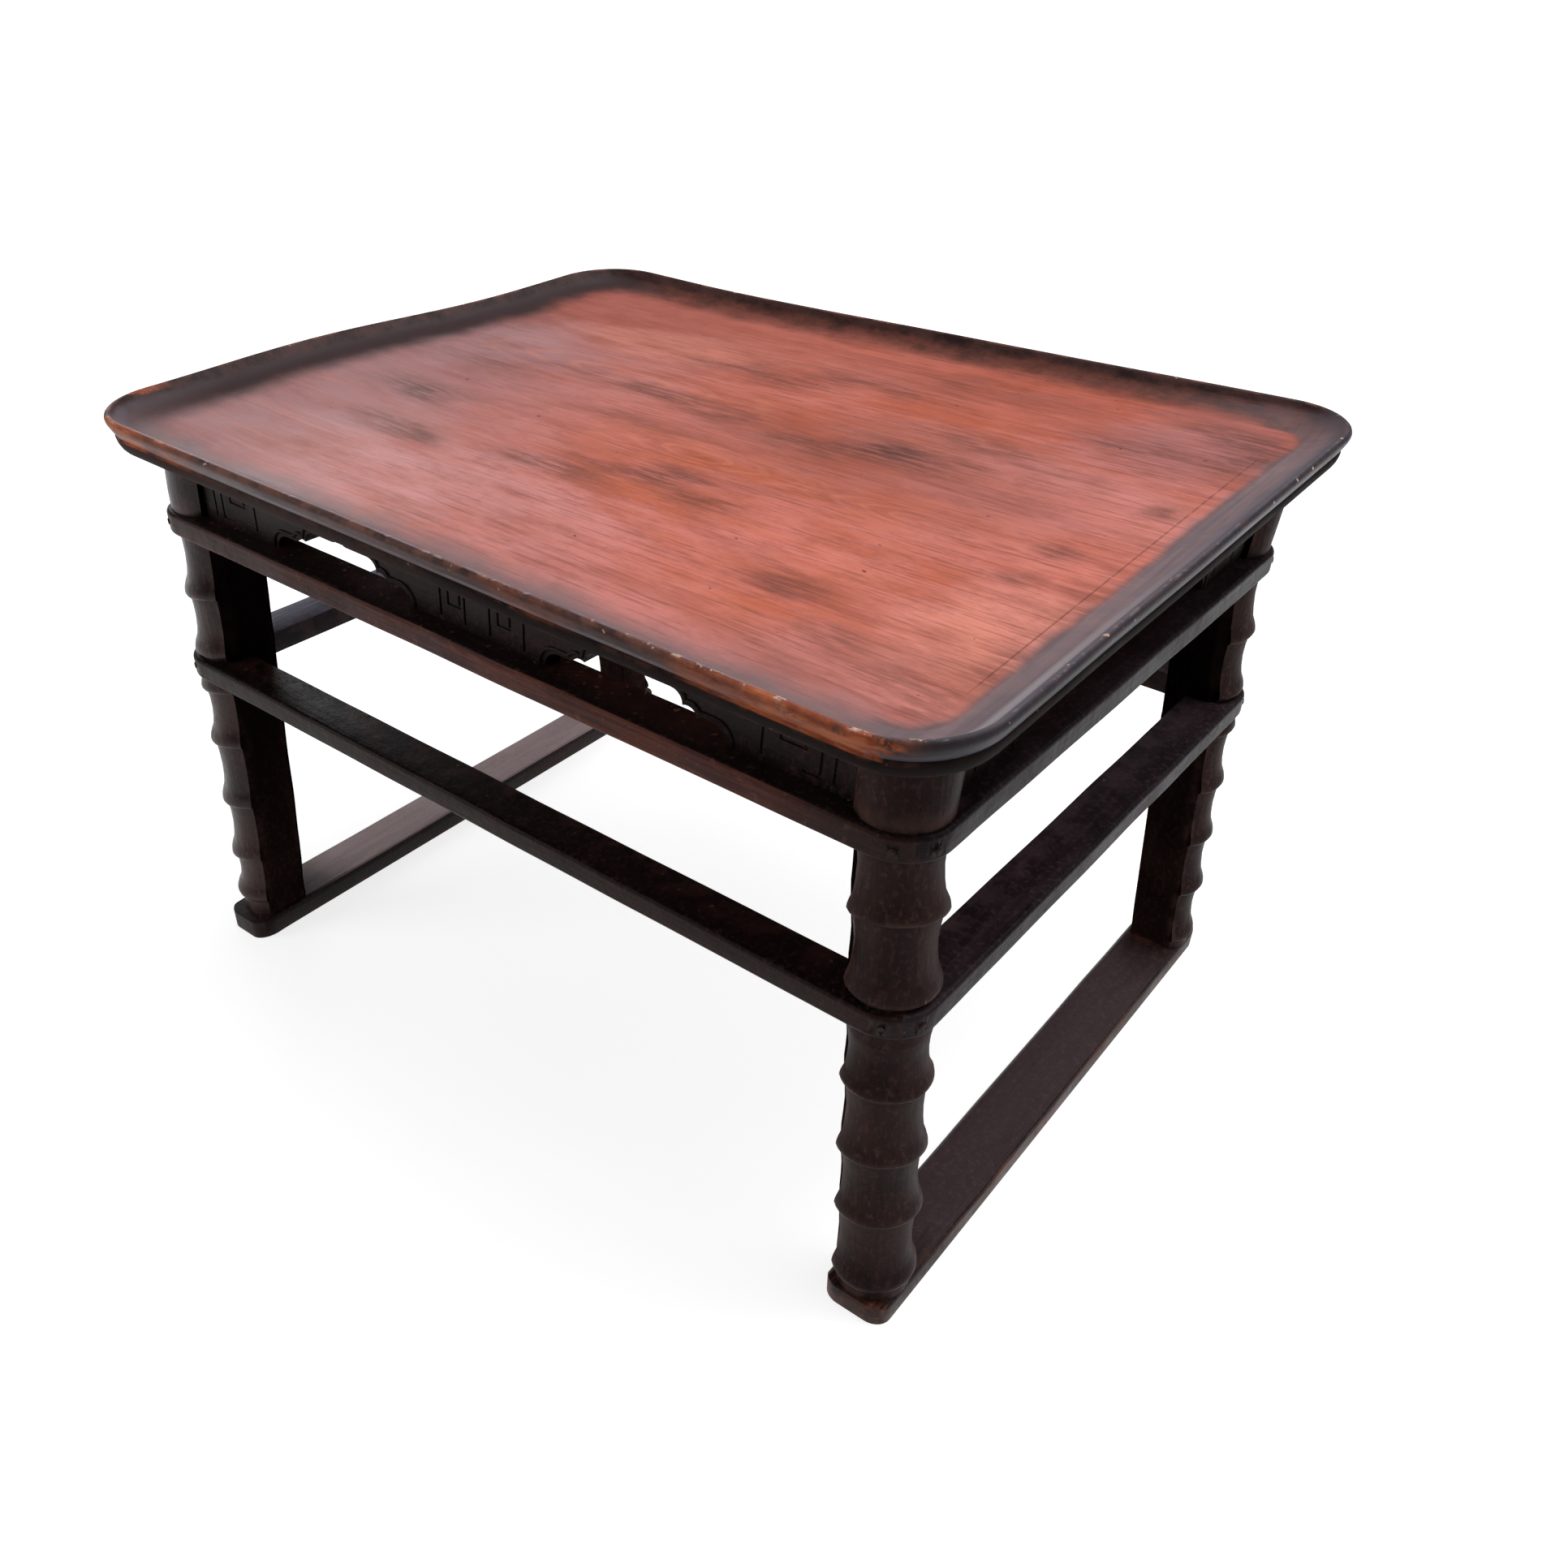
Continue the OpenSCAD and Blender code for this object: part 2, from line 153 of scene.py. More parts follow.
def smooth(piece, angle=30):
    """Shades the piece smooth and keeps the edges that turn by more than an angle crisp."""
    bpy.ops.object.select_all(action="DESELECT")
    piece.select_set(True)
    bpy.context.view_layer.objects.active = piece
    bpy.ops.object.shade_smooth_by_angle(angle=math.radians(angle))


# How the old frame has settled: how far each corner has moved at the ground, at the upper
# rails and at the tray, front left, front right, back left and back right
settled = {
    0: ((3.5, -8, 0), (-1, 3.5, 0), (-1, 0, 0), (0, 0, 0)),
    rail_top: ((0, 0, 0), (0, 0, 0), (0.5, 0.5, 0), (2.5, 1, 0.5)),
    underside: ((1, 0.5, -2.5), (1.5, 1.5, -5), (2, 1.5, -2.2), (6.5, 7.5, 8.5)),
}


def settle(piece):
    """Moves a piece's points as the old frame has moved, so that all its joints stay closed.
    Above the upper rails the left side also follows the tray where it has curled up."""
    for v in piece.data.vertices:
        x, y, z = v.co / mm
        k, m = 0.5 + x / tray_l, 0.5 + y / tray_w
        weights = ((1 - k) * (1 - m), k * (1 - m), (1 - k) * m, k * m)
        ground, middle, above = (sum((Vector(c) * w for c, w in zip(corners, weights)), Vector())
                                 for corners in settled.values())
        if z < rail_top:
            move = ground.lerp(middle, max(z, 0) / rail_top)
        else:
            share = min((z - rail_top) / (underside - rail_top), 1)
            move = middle.lerp(above, share)
            left = x + tray_l / 2
            back_curl = 3.6 * math.exp(-(left ** 2 + (y - 178) ** 2) / 75 ** 2)
            front_curl = 4 * math.exp(-(left / 70) ** 2 - ((y + 40) / 85) ** 2)
            move.z += share * back_curl
            move.z += share * front_curl
        v.co += move * mm


half_l, half_w, corner_r, tray_foot = tray_l / 2 * mm, tray_w / 2 * mm, corner * mm, underside * mm
tray = trace("tray", [Vector((0, -half_w + corner_r - s * mm, tray_foot + z * mm)) for s, z in rim_section])
straight_l, straight_w = half_l - corner_r, half_w - corner_r
# The section is drawn on along each side, in steps of about 6 mm, and spun round each corner,
# back to its start
run_on((straight_l, 0, 0), 34)
for sx, sy, run, steps in ((1, -1, (0, 2 * straight_w, 0), 47), (1, 1, (-2 * straight_l, 0, 0), 68),
                           (-1, 1, (0, -2 * straight_w, 0), 47), (-1, -1, (straight_l, 0, 0), 34)):
    bpy.ops.mesh.spin(steps=14, angle=math.radians(-90), center=(sx * straight_l, sy * straight_w, 0),
                      axis=(0, 0, 1))
    run_on(run, steps)
bpy.ops.mesh.select_all(action="SELECT")
bpy.ops.mesh.remove_doubles(threshold=0.02 * mm)
# The floor and the underside are closed, and crossed by a grid of lines, up to the cove, so
# that they can be uneven
grid, cove = 6 * mm, 20 * mm
for height in (tray_foot + floor_up * mm, tray_foot):
    pick_edges(tray, lambda e: e.is_boundary and all(abs(v.co.z + tray.location.z - height) < 0.01 * mm
                                                     for v in e.verts))
    bpy.ops.mesh.duplicate()
    bpy.ops.mesh.edge_face_add()
    bpy.ops.mesh.separate(type="SELECTED")
    bpy.ops.object.mode_set(mode="OBJECT")
    field = [o for o in bpy.context.selected_objects if o != tray][0]
    bpy.context.view_layer.objects.active = field
    tray.select_set(False)
    bpy.ops.object.mode_set(mode="EDIT")
    for axis, reach in ((0, half_l), (1, half_w)):
        last = int((reach - cove) / grid)
        for i in range(-last, last + 1):
            bpy.ops.mesh.select_all(action="SELECT")
            bpy.ops.mesh.bisect(plane_co=[i * grid] * 3, plane_no=((1, 0, 0), (0, 1, 0))[axis])
    bpy.ops.object.mode_set(mode="OBJECT")
    tray.select_set(True)
    bpy.context.view_layer.objects.active = tray
    bpy.ops.object.join()
    bpy.ops.object.mode_set(mode="EDIT")
close_up(tray)

# Smoky marks on the floor (middle, half length, half width, depth) and places where hands
# have bared the wood of the rim (middle, reach, depth)
smoke_marks = [
    (-156, -41, 32, 13, 0.75), (-115, -85, 38, 11, 0.65), (-56, 29, 64, 10, 0.6), (-9, 25, 44, 9, 0.5),
    (0, -58, 42, 11, 0.6), (35, -63, 32, 9, 0.5), (-32, -73, 32, 9, 0.5), (-175, 10, 40, 22, 0.35),
    (-46, 83, 54, 10, 0.55), (8, 100, 52, 11, 0.5), (79, 29, 36, 15, 0.8), (22, -49, 26, 8, 0.55),
    (122, -100, 18, 8, 0.5), (151, 13, 22, 8, 0.35), (186, -21, 9, 8, 0.6), (183, -45, 8, 8, 0.5),
    (202, 40, 9, 9, 0.65), (206, 104, 26, 18, 0.6), (161, -124, 16, 11, 0.4), (-45, -11, 44, 9, 0.35),
    (43, 14, 44, 10, 0.5), (110, 62, 44, 14, 0.45), (172, 100, 44, 18, 0.45), (60, 128, 64, 14, 0.35),
    (-44, -146, 22, 8, 0.3), (-120, 100, 70, 24, 0.12), (-205, 70, 16, 50, 0.2), (216, -60, 10, 40, 0.3),
    (200, 134, 44, 20, 0.6), (214, 118, 12, 34, 0.6), (206, -134, 26, 18, 0.42), (214, -108, 9, 30, 0.4),
    (150, -146, 40, 9, 0.3),
]
bare_marks = [
    (172, -178, 26, 0.7), (192, -178, 32, 1), (212, -176, 28, 1), (224, -168, 14, 0.7), (145, -178, 20, 0.35),
    (-222, -170, 34, 1), (-196, -178, 26, 0.6), (-165, -178, 26, 0.3), (-238, -150, 20, 0.7),
    (60, -178, 30, 0.15),
]
# The board has warped a little as it dried, and its rim was never quite straight
smoke, bare, across, rise = [], [], [], []
for v in tray.data.vertices:
    x, y, z = v.co / mm
    from_floor = math.hypot(max(abs(x) - corner_x, 0), max(abs(y) - corner_y, 0))
    across.append(from_floor)
    rise.append(z - underside)
    ripple = noise.noise(Vector((x, y, 0)) / 95)
    on_rim = min(from_floor / 30, 1)
    v.co.x += 0.5 * noise.noise(Vector((x, y, 40)) / 70) * on_rim * mm
    v.co.y += 0.5 * noise.noise(Vector((x, y, 80)) / 70) * on_rim * mm
    v.co.z += 0.25 * ripple * mm
    haze = 0
    for cx, cy, rx, ry, depth in smoke_marks:
        shift = noise.noise(Vector((x / 34, y / 12, 3))) * 0.8
        r = math.hypot((x - cx) / rx, (y - cy) / ry) + shift
        haze = max(haze, depth * (1 - min(max((r - 0.2) / 1.2, 0), 1)))
    smoke.append(haze)
    skin = 0
    for cx, cy, reach, depth in bare_marks:
        skin = max(skin, depth * (1 - min(math.hypot(x - cx, y - cy) / reach, 1)))
    outside = 7.5 < z - underside < 16.9 and (abs(x) > tray_l / 2 - 4 or abs(y) > tray_w / 2 - 4)
    bare.append(min(skin * 1.6, 1) if outside else 0)
for name, values in (("smoke", smoke), ("bare", bare), ("across", across), ("rise", rise)):
    tray.data.attributes.new(name, "FLOAT", "POINT").data.foreach_set("value", values)
settle(tray)
mark_wear(tray, 12, 32)
smooth(tray, 34)

# Finishes
# Each is mixed step by step from noise that follows the grain and from the marks on its piece


def paint(r, g, b):
    """A colour as it looks on the finished piece, 0 to 255 in each channel."""
    shares = [c / 255 for c in (r, g, b)]
    return tuple(c / 12.92 if c < 0.04045 else ((c + 0.055) / 1.055) ** 2.4 for c in shares) + (1,)


class Recipe:
    """A finish that is mixed step by step."""

    def __init__(self, name):
        self.material = bpy.data.materials.new(name)
        self.material.use_nodes = True
        self.tree = self.material.node_tree
        self.tree.nodes.clear()
        self.place = self.step("TexCoord").outputs["Object"]

    def step(self, kind, inputs=None, **settings):
        made = self.tree.nodes.new("ShaderNode" + kind)
        for key, value in settings.items():
            setattr(made, key, value)
        for key, value in (inputs or {}).items():
            if isinstance(value, bpy.types.NodeSocket):
                self.tree.links.new(value, made.inputs[key])
            else:
                made.inputs[key].default_value = value
        return made

    def stretch(self, scale, offset=(0, 0, 0)):
        return self.step("Mapping", {"Vector": self.place, "Scale": scale, "Location": offset}).outputs["Vector"]

    def cloud(self, scale, offset=(0, 0, 0), detail=4.0, rough=0.55, twist=0.0):
        return self.step("TexNoise", {"Vector": self.stretch(scale, offset), "Scale": 1.0, "Detail": detail,
                                      "Roughness": rough, "Distortion": twist}).outputs["Fac"]

    def span(self, value, low, high, to_low=0.0, to_high=1.0):
        return self.step("MapRange", {"Value": value, "From Min": low, "From Max": high, "To Min": to_low,
                                      "To Max": to_high}, interpolation_type="SMOOTHSTEP").outputs["Result"]

    def from_oval(self, cx, cy, rx, ry):
        """Distance from the middle of an oval, 1 along its edge. Its middle and its half length
        and width are in millimetres."""
        oval = self.stretch((1 / mm / rx, 1 / mm / ry, 0), (-cx / rx, -cy / ry, 0))
        return self.step("VectorMath", {0: oval}, operation="LENGTH").outputs["Value"]

    def reckon(self, kind, a, b, clamp=False):
        return self.step("Math", {0: a, 1: b}, operation=kind, use_clamp=clamp).outputs["Value"]

    def times(self, a, b, clamp=False):
        return self.reckon("MULTIPLY", a, b, clamp)

    def plus(self, a, b):
        return self.reckon("ADD", a, b)

    def less(self, a, b):
        return self.reckon("SUBTRACT", a, b)

    def blend(self, share, a, b):
        made = self.step("Mix", data_type="RGBA")
        for slot, value in ((0, share), (6, a), (7, b)):
            if isinstance(value, bpy.types.NodeSocket):
                self.tree.links.new(value, made.inputs[slot])
            else:
                made.inputs[slot].default_value = value
        return made.outputs[2]

    def attribute(self, name):
        return self.step("Attribute", attribute_name=name).outputs["Fac"]

    def close(self, colour, gloss, height, depth, sheen):
        bump = self.step("Bump", {"Height": height, "Strength": 1.0, "Distance": depth})
        body = self.step("BsdfPrincipled", {"Base Color": colour, "Roughness": gloss, "Normal": bump.outputs[0],
                                            "Specular IOR Level": sheen})
        self.step("OutputMaterial", {"Surface": body.outputs[0]})
        return self.material


# The tray's lacquer. The places on the board, x to the right and y to the back, are in metres,
# and the steps over the rim's section are in millimetres.
red = Recipe("worn_red_lacquer")
x, y = red.step("SeparateXYZ", {"Vector": red.place}).outputs[:2]
outward, rise = red.attribute("across"), red.attribute("rise")
fine = red.cloud((30, 620, 300), detail=6, rough=0.66)
streak = red.cloud((9, 210, 90), (0.3, 0.1, 0), detail=7, rough=0.66, twist=0.3)
patch = red.cloud((10, 26, 20), (1.7, 0.4, 0), detail=7, rough=0.68)
broad = red.cloud((5, 7, 6), (4.1, 2.2, 0), detail=3)
mottle = red.cloud((50, 95, 90), (2.1, 0.2, 0), detail=7, rough=0.72)


def mottled(one, other):
    """Two tones in the small patches that the lacquer has worn into."""
    return red.blend(red.span(mottle, 0.35, 0.65), one, other)


# The floor's red, browner toward the back, and greyer toward the left under a painted pale reflection
floor_red = red.blend(red.span(patch, 0.36, 0.62), paint(202, 118, 104), paint(180, 94, 68))
floor_red = red.blend(red.times(red.span(broad, 0.4, 0.65), 0.7), floor_red, paint(198, 130, 124))
to_left_reflection = red.span(red.plus(x, red.times(patch, 0.12)), 0.06, -0.16, 0.0, 0.85)
floor_red = red.blend(to_left_reflection, floor_red, mottled(paint(130, 91, 94), paint(142, 106, 107)))
to_back = red.span(red.plus(y, red.times(patch, 0.12)), 0.1, 0.19, 0.0, 0.7)
floor_red = red.blend(to_back, floor_red, mottled(paint(154, 76, 56), paint(178, 94, 76)))
# Faded zones of the floor, with a painted pale reflection on its near and left parts: middle, half length,
# half width, depth and tone
for cx, cy, rx, ry, depth, tone in ((70, 20, 130, 62, 0.5, paint(134, 74, 62)),
                                    (-45, -112, 100, 46, 0.5, paint(194, 142, 142)),
                                    (188, 112, 62, 56, 0.5, paint(168, 120, 124)),
                                    (205, -90, 44, 55, 0.5, paint(228, 148, 128)),
                                    (-110, 92, 90, 30, 0.5, paint(214, 134, 112)),
                                    (-185, 40, 45, 60, 0.4, paint(182, 140, 140))):
    away = red.from_oval(cx, cy, rx, ry)
    away = red.plus(away, red.span(patch, 0.35, 0.65, -0.2, 0.2))
    floor_red = red.blend(red.span(away, 1.15, 0.2, 0.0, depth), floor_red, tone)
floor_red = red.blend(red.span(mottle, 0.46, 0.66, 0.0, 0.3), floor_red, paint(132, 72, 62))
# Dark streaks and open pores of the grain, the rings where the board was sawn through a knot,
# smoky marks and pits
drift = red.cloud((11, 58, 40), (2.1, 0.2, 0), detail=7, rough=0.7)
floor_red = red.blend(red.span(drift, 0.48, 0.66, 0.0, 0.36), floor_red, paint(138, 70, 56))
calm = red.span(x, -0.2, 0.0, 0.35, 1.0)
streaked = red.times(red.span(streak, 0.5, 0.72, 0.0, 0.3), calm)
floor_red = red.blend(streaked, floor_red, paint(116, 62, 52))
floor_red = red.blend(red.times(red.span(streak, 0.46, 0.3), 0.2), floor_red, paint(214, 136, 112))
pores = red.times(red.span(fine, 0.5, 0.64, 0.0, 0.42), calm)
floor_red = red.blend(pores, floor_red, paint(112, 58, 46))
ring_bend = red.times(red.cloud((10, 40, 10), detail=3), 1.4)
for cx, cy, rx, ry, reach in ((11, -22, 34, 7, 3.4), (140, -22, 30, 6, 3.6), (-95, 40, 60, 12, 3)):
    away = red.from_oval(cx, cy, rx, ry)
    wave = red.reckon("SINE", red.times(red.plus(away, ring_bend), 11.0), 0.0)
    lines = red.times(red.span(wave, 0.3, 1.0), red.span(away, reach, 0.4, 0.0, 0.24))
    floor_red = red.blend(lines, floor_red, paint(210, 132, 100))
break_up = red.span(red.cloud((38, 340, 60), (0.2, 0.9, 0), 8, 0.75), 0.38, 0.58, 0.3, 1.4)
smoky = red.times(red.attribute("smoke"), break_up)
floor_red = red.blend(red.times(smoky, 1.0, True), floor_red, paint(92, 58, 52))
pits = red.span(red.cloud((150, 190, 150), (0.9, 0.4, 0.1), 2), 0.74, 0.78, 0.0, 0.8)
floor_red = red.blend(pits, floor_red, paint(84, 46, 40))

# On the rim the red turns to a greyed lilac on the near sides, a painted sheen where the coves catch
# the light from behind, to brown at the far side, and to bare dark wood along the crest
edge_noise = red.span(red.cloud((26, 36, 30), (0.7, 0.1, 0), 6, 0.65), 0.3, 0.7, -3.0, 3.0)
shift = red.plus(red.span(y, 0.08, 0.17, 0.0, -3.0), red.span(x, -0.16, -0.22, 0.0, 3.0))
inset = red.plus(red.plus(outward, edge_noise), shift)
toward = red.less(red.times(x, 0.6), red.times(y, 0.8))
near = red.span(toward, -0.06, 0.06)
at_right = red.span(x, 0.198, 0.222)
right_side = red.span(x, 0.196, 0.206)
far_right = red.span(x, 0.222, 0.23)
# The lilac of the near coves is a painted sheen, cooler and darker at the right end
low_cove = red.blend(at_right, paint(112, 92, 93), paint(114, 97, 100))
low_cove = red.blend(red.span(mottle, 0.35, 0.65, 0.0, 0.5), low_cove, paint(134, 108, 106))
high_cove = red.blend(at_right, paint(124, 114, 120), paint(84, 82, 90))
high_cove = red.blend(red.span(mottle, 0.4, 0.66, 0.0, 0.6), high_cove, paint(90, 80, 84))
lilac_sheen = red.blend(red.span(red.plus(outward, red.times(edge_noise, 0.4)), 25.0, 31.0), low_cove, high_cove)
banding = red.times(red.span(red.cloud((300, 12, 60), (0.3, 0.2, 0), 5, 0.6), 0.4, 0.64), at_right)
lilac_sheen = red.blend(red.times(banding, 0.5), lilac_sheen, paint(84, 78, 82))
# A painted shade line in the crease where the floor meets the cove, on the right
crease_shade = red.times(red.span(outward, 14.0, 15.5), red.span(outward, 18.0, 16.5))
lilac_sheen = red.blend(red.times(red.times(crease_shade, right_side), 0.5), lilac_sheen, paint(88, 66, 66))
# A painted highlight along the upper cove on the right, brightest toward the front
glint = red.times(red.span(outward, 25.0, 28.5), red.span(outward, 33.0, 30.5))
glint = red.times(glint, red.span(y, 0.06, -0.12, 0.12, 0.75))
lilac_sheen = red.blend(red.times(glint, right_side), lilac_sheen, paint(146, 142, 144))
brown = mottled(paint(62, 36, 31), paint(96, 54, 44))
brown = red.blend(red.span(x, -0.16, -0.22), brown, paint(58, 44, 44))
cover = red.times(red.span(inset, 4.0, 27.0), red.less(1.0, right_side))
calm_inset = red.plus(outward, red.times(edge_noise, 0.45))
cover = red.plus(cover, red.times(red.span(calm_inset, 12.0, 18.5), right_side))
colour = red.blend(cover, floor_red, red.blend(near, brown, lilac_sheen))
at_crest = red.plus(outward, red.times(edge_noise, 0.35))
dark_rim = mottled(paint(38, 25, 24), paint(70, 46, 42))
# At the right end the crest takes a painted cool sheen, bluish grey
dark_rim = red.blend(red.times(far_right, 0.85), dark_rim, paint(58, 56, 64))
at_crest = red.less(at_crest, red.times(near, 5.5))
colour = red.blend(red.span(at_crest, 29.0, 31.8), colour, dark_rim)
# The outer face under the crest, and the moulding along its foot
outer_face = red.span(outward, 35.0, 35.8)
dusky = red.blend(red.span(mottle, 0.38, 0.62), paint(54, 34, 31), paint(92, 62, 56))
# The right end's outer face takes the same painted cool sheen
dusky = red.blend(red.times(far_right, 0.85), dusky, paint(48, 46, 52))
colour = red.blend(outer_face, colour, dusky)
foot_band = red.times(red.span(rise, 8.4, 8.0), red.span(outward, 28.0, 29.0))
moulding = mottled(paint(15, 9, 8), paint(30, 20, 18))
moulding = red.blend(red.span(x, 0.05, -0.08, 0.0, 0.8), moulding, paint(62, 49, 46))
colour = red.blend(foot_band, colour, moulding)
# Where hands have rubbed the rim: worn arrises, bared wood, chips and specks
wear = red.times(red.attribute("wear"), red.span(red.cloud((90, 90, 90), (0, 0.3, 0), 5), 0.44, 0.62))
wear = red.times(wear, red.span(far_right, 0.0, 1.0, 1.0, 0.12))
colour = red.blend(red.times(wear, 0.7), colour, paint(128, 84, 70))
naked = red.times(red.attribute("bare"), red.span(red.cloud((90, 90, 130), (0.1, 0.8, 0.4), 6, 0.65), 0.34, 0.48))
naked_wood = red.blend(red.span(red.cloud((70, 260, 260), detail=5), 0.38, 0.66), paint(134, 66, 44),
                       paint(190, 108, 70))
colour = red.blend(red.times(naked, 1.5, True), colour, naked_wood)
crest = red.times(red.span(outward, 34.0, 34.8), red.span(outward, 36.2, 35.5))
crest = red.times(crest, red.span(rise, 14.5, 15.5))
hand_worn = red.times(near, red.times(red.span(x, 0.08, 0.17, 0.3, 0.85), red.span(x, 0.226, 0.236, 1.0, 0.15)))
chips = red.span(red.cloud((190, 190, 190), (0.5, 0.2, 0.1), 4, 0.65), 0.54, 0.62)
chips = red.times(chips, red.plus(red.times(crest, hand_worn), red.times(red.attribute("bare"), 0.12)))
colour = red.blend(red.times(chips, 1.0, True), colour, paint(198, 168, 152))
specks = red.times(red.span(red.cloud((210, 210, 210), (0.2, 0.7, 0.1), 2), 0.70, 0.74), red.attribute("wear"))
colour = red.blend(specks, colour, paint(196, 160, 140))
# A line scored across the floor near its right end
score = red.times(red.span(red.less(x, 0.2165), -0.0006, 0.0), red.span(x, 0.2171, 0.2165))
from_middle = red.step("Math", {0: y}, operation="ABSOLUTE").outputs[0]
score = red.times(score, red.span(from_middle, 0.128, 0.118))
score = red.times(score, red.span(streak, 0.36, 0.56, 0.2, 0.6))
colour = red.blend(score, colour, paint(84, 52, 46))
gloss = red.span(patch, 0.3, 0.7, 0.34, 0.46)
gloss = red.plus(gloss, red.times(foot_band, 0.4))
height = red.plus(red.times(fine, 0.5), red.times(patch, 0.5))
height = red.plus(height, red.times(mottle, 0.3))
height = red.less(height, red.plus(red.times(score, 1.5), red.times(chips, 1.0)))
tray.data.materials.append(red.close(colour, gloss, height, 0.0003, 0.09))
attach(tray, "root")
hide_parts("tray_top")

# Legs
# Four leaning posts of soft wood, the outer half carved as a bamboo stem with rings and the
# inner half two flats. Each stands through its foot rail on a square tenon.
lean = math.tan(math.radians(1.8))
foot_x, foot_y = 213, 148
stem, ring, post, tenon = 16.5, 18.8, 18, 7.0
heel_foot, heel_gain, flat_half = 17, 6.5, 16.35
shoulder, lower_band, upper_band_foot = 11, (165, 175.4), 243


def leg_level(z, radius, shape):
    """The outline of a leg at height z, in millimetres, corner first, in the quarter x, y > 0."""
    heel = heel_foot + heel_gain * z / underside
    flat = min(radius, flat_half)
    points = [(-heel + 1.2, -1.2), (-heel + 0.35, 0), (-heel + 1.2, 1.2), (-heel + 3, 3),
              (-heel + flat - 2, flat - 2), (-heel + flat, flat), (0, flat)]
    points += [(radius * math.sin(math.radians(a)), radius * math.cos(math.radians(a))) for a in range(0, 181, 9)]
    points += [(0, -flat), (-heel + flat, -flat), (-heel + flat - 2, 2 - flat), (-heel + 3, -3)]
    if shape == "tenon":
        points = [(tenon * max(-1, min(1, (u - v) / 12)), tenon * max(-1, min(1, (u + v) / 12)))
                  for u, v in points]
        return [Vector((foot_x + u, foot_y + v, z)) * mm for u, v in points]
    root = math.sqrt(0.5)
    axis_x, axis_y = foot_x - lean * z, foot_y - lean * z
    return [Vector((axis_x + (u - v) * root, axis_y + (u + v) * root, z)) * mm for u, v in points]


# Levels of the carving from the foot up: height, radius and shape. The stem is waisted between
# two rings, except where they stand close together above and below the lower rails.
levels = [(0, stem, "tenon"), (shoulder, stem, "tenon"), (shoulder, stem, "leg")]
ring_heights = [18, 52.6, 87.3, 121.9, 156.5, 178.7, 210.9]
waist = 1.0
ring_shape = [(-3.2, stem), (-2.1, 16.55), (-1.9, 17.2), (-1.1, 18.3), (0, ring), (1.6, 18.6), (3.4, 18.1),
              (5.2, 17.4), (7.2, 16.6)]
for a, b in zip(ring_heights, ring_heights[1:] + [upper_band_foot]):
    levels += [(a + dz, r, "leg") for dz, r in ring_shape]
    if b - a > 25:
        low, high = a + 8, b if b == upper_band_foot else b - 4
        for k in (0.2, 0.5, 0.8):
            levels.append((low + k * (high - low), stem - waist * (1 - (2 * k - 1) ** 2), "leg"))
    elif a < lower_band[0]:
        levels += [(z, stem, "leg") for z in lower_band]
levels += [(z, stem, "leg") for z in (upper_band_foot + 0.5, rail_top - 0.1)]
levels += [(rail_top + 0.1, post - 0.1, "leg")] + [(z, post, "leg") for z in (266, 278, 291)]

tenon_end = leg_level(0, stem, "tenon")
bpy.ops.object.select_all(action="DESELECT")
bpy.ops.mesh.primitive_circle_add(vertices=len(tenon_end), radius=tenon * mm, fill_type="NGON",
                                  location=(foot_x * mm, foot_y * mm, 0))
first_leg = bpy.context.object
bpy.ops.object.transform_apply(location=True)
for v, p in zip(first_leg.data.vertices, tenon_end):
    v.co = p
bpy.ops.object.mode_set(mode="EDIT")
bpy.ops.mesh.select_all(action="SELECT")
for z, radius, shape in levels[1:]:
    bpy.ops.mesh.extrude_region_move(TRANSFORM_OT_translate={"value": (0, 0, 0.1 * mm)})
    work = bmesh.from_edit_mesh(first_leg.data)
    work.verts.ensure_lookup_table()
    for v, p in zip([v for v in work.verts if v.select], leg_level(z, radius, shape)):
        v.co = p
    bmesh.update_edit_mesh(first_leg.data)
close_up(first_leg, 0.001 * mm)

# How far the hand carved rings of the front legs stray: height, rise all round, further rise outside
by_hand = {
    "front_right": [(11, 0, 0), (18, 2, 0), (52.6, 5, 4), (87.3, 5, 5), (121.9, 9, 2), (153, 3, 0), (162, 0, 0),
                    (176, 0, 0), (210.9, 1, 6), (243, 0, 0)],
    "front_left": [(11, 0, 0), (18, 6, 0), (52.6, -2, 0), (87.3, -1, 0), (121.9, 3, 0), (155, 1, 0), (162, 0, 0)],
}


def stray(side, z, outside):
    """How far a ring at height z strays upward on this leg."""
    steps = by_hand.get(side, [])
    for (z0, a0, b0), (z1, a1, b1) in zip(steps, steps[1:]):
        if z0 <= z < z1:
            k = (z - z0) / (z1 - z0)
            return a0 + k * (a1 - a0) + (b0 + k * (b1 - b0)) * outside
    return 0


# Heights at which the legs stay true for their joints: foot rail, lower and upper rails, tray
joint_zones = ((0, 12), (160, 178), (241, 256), (288, 300))
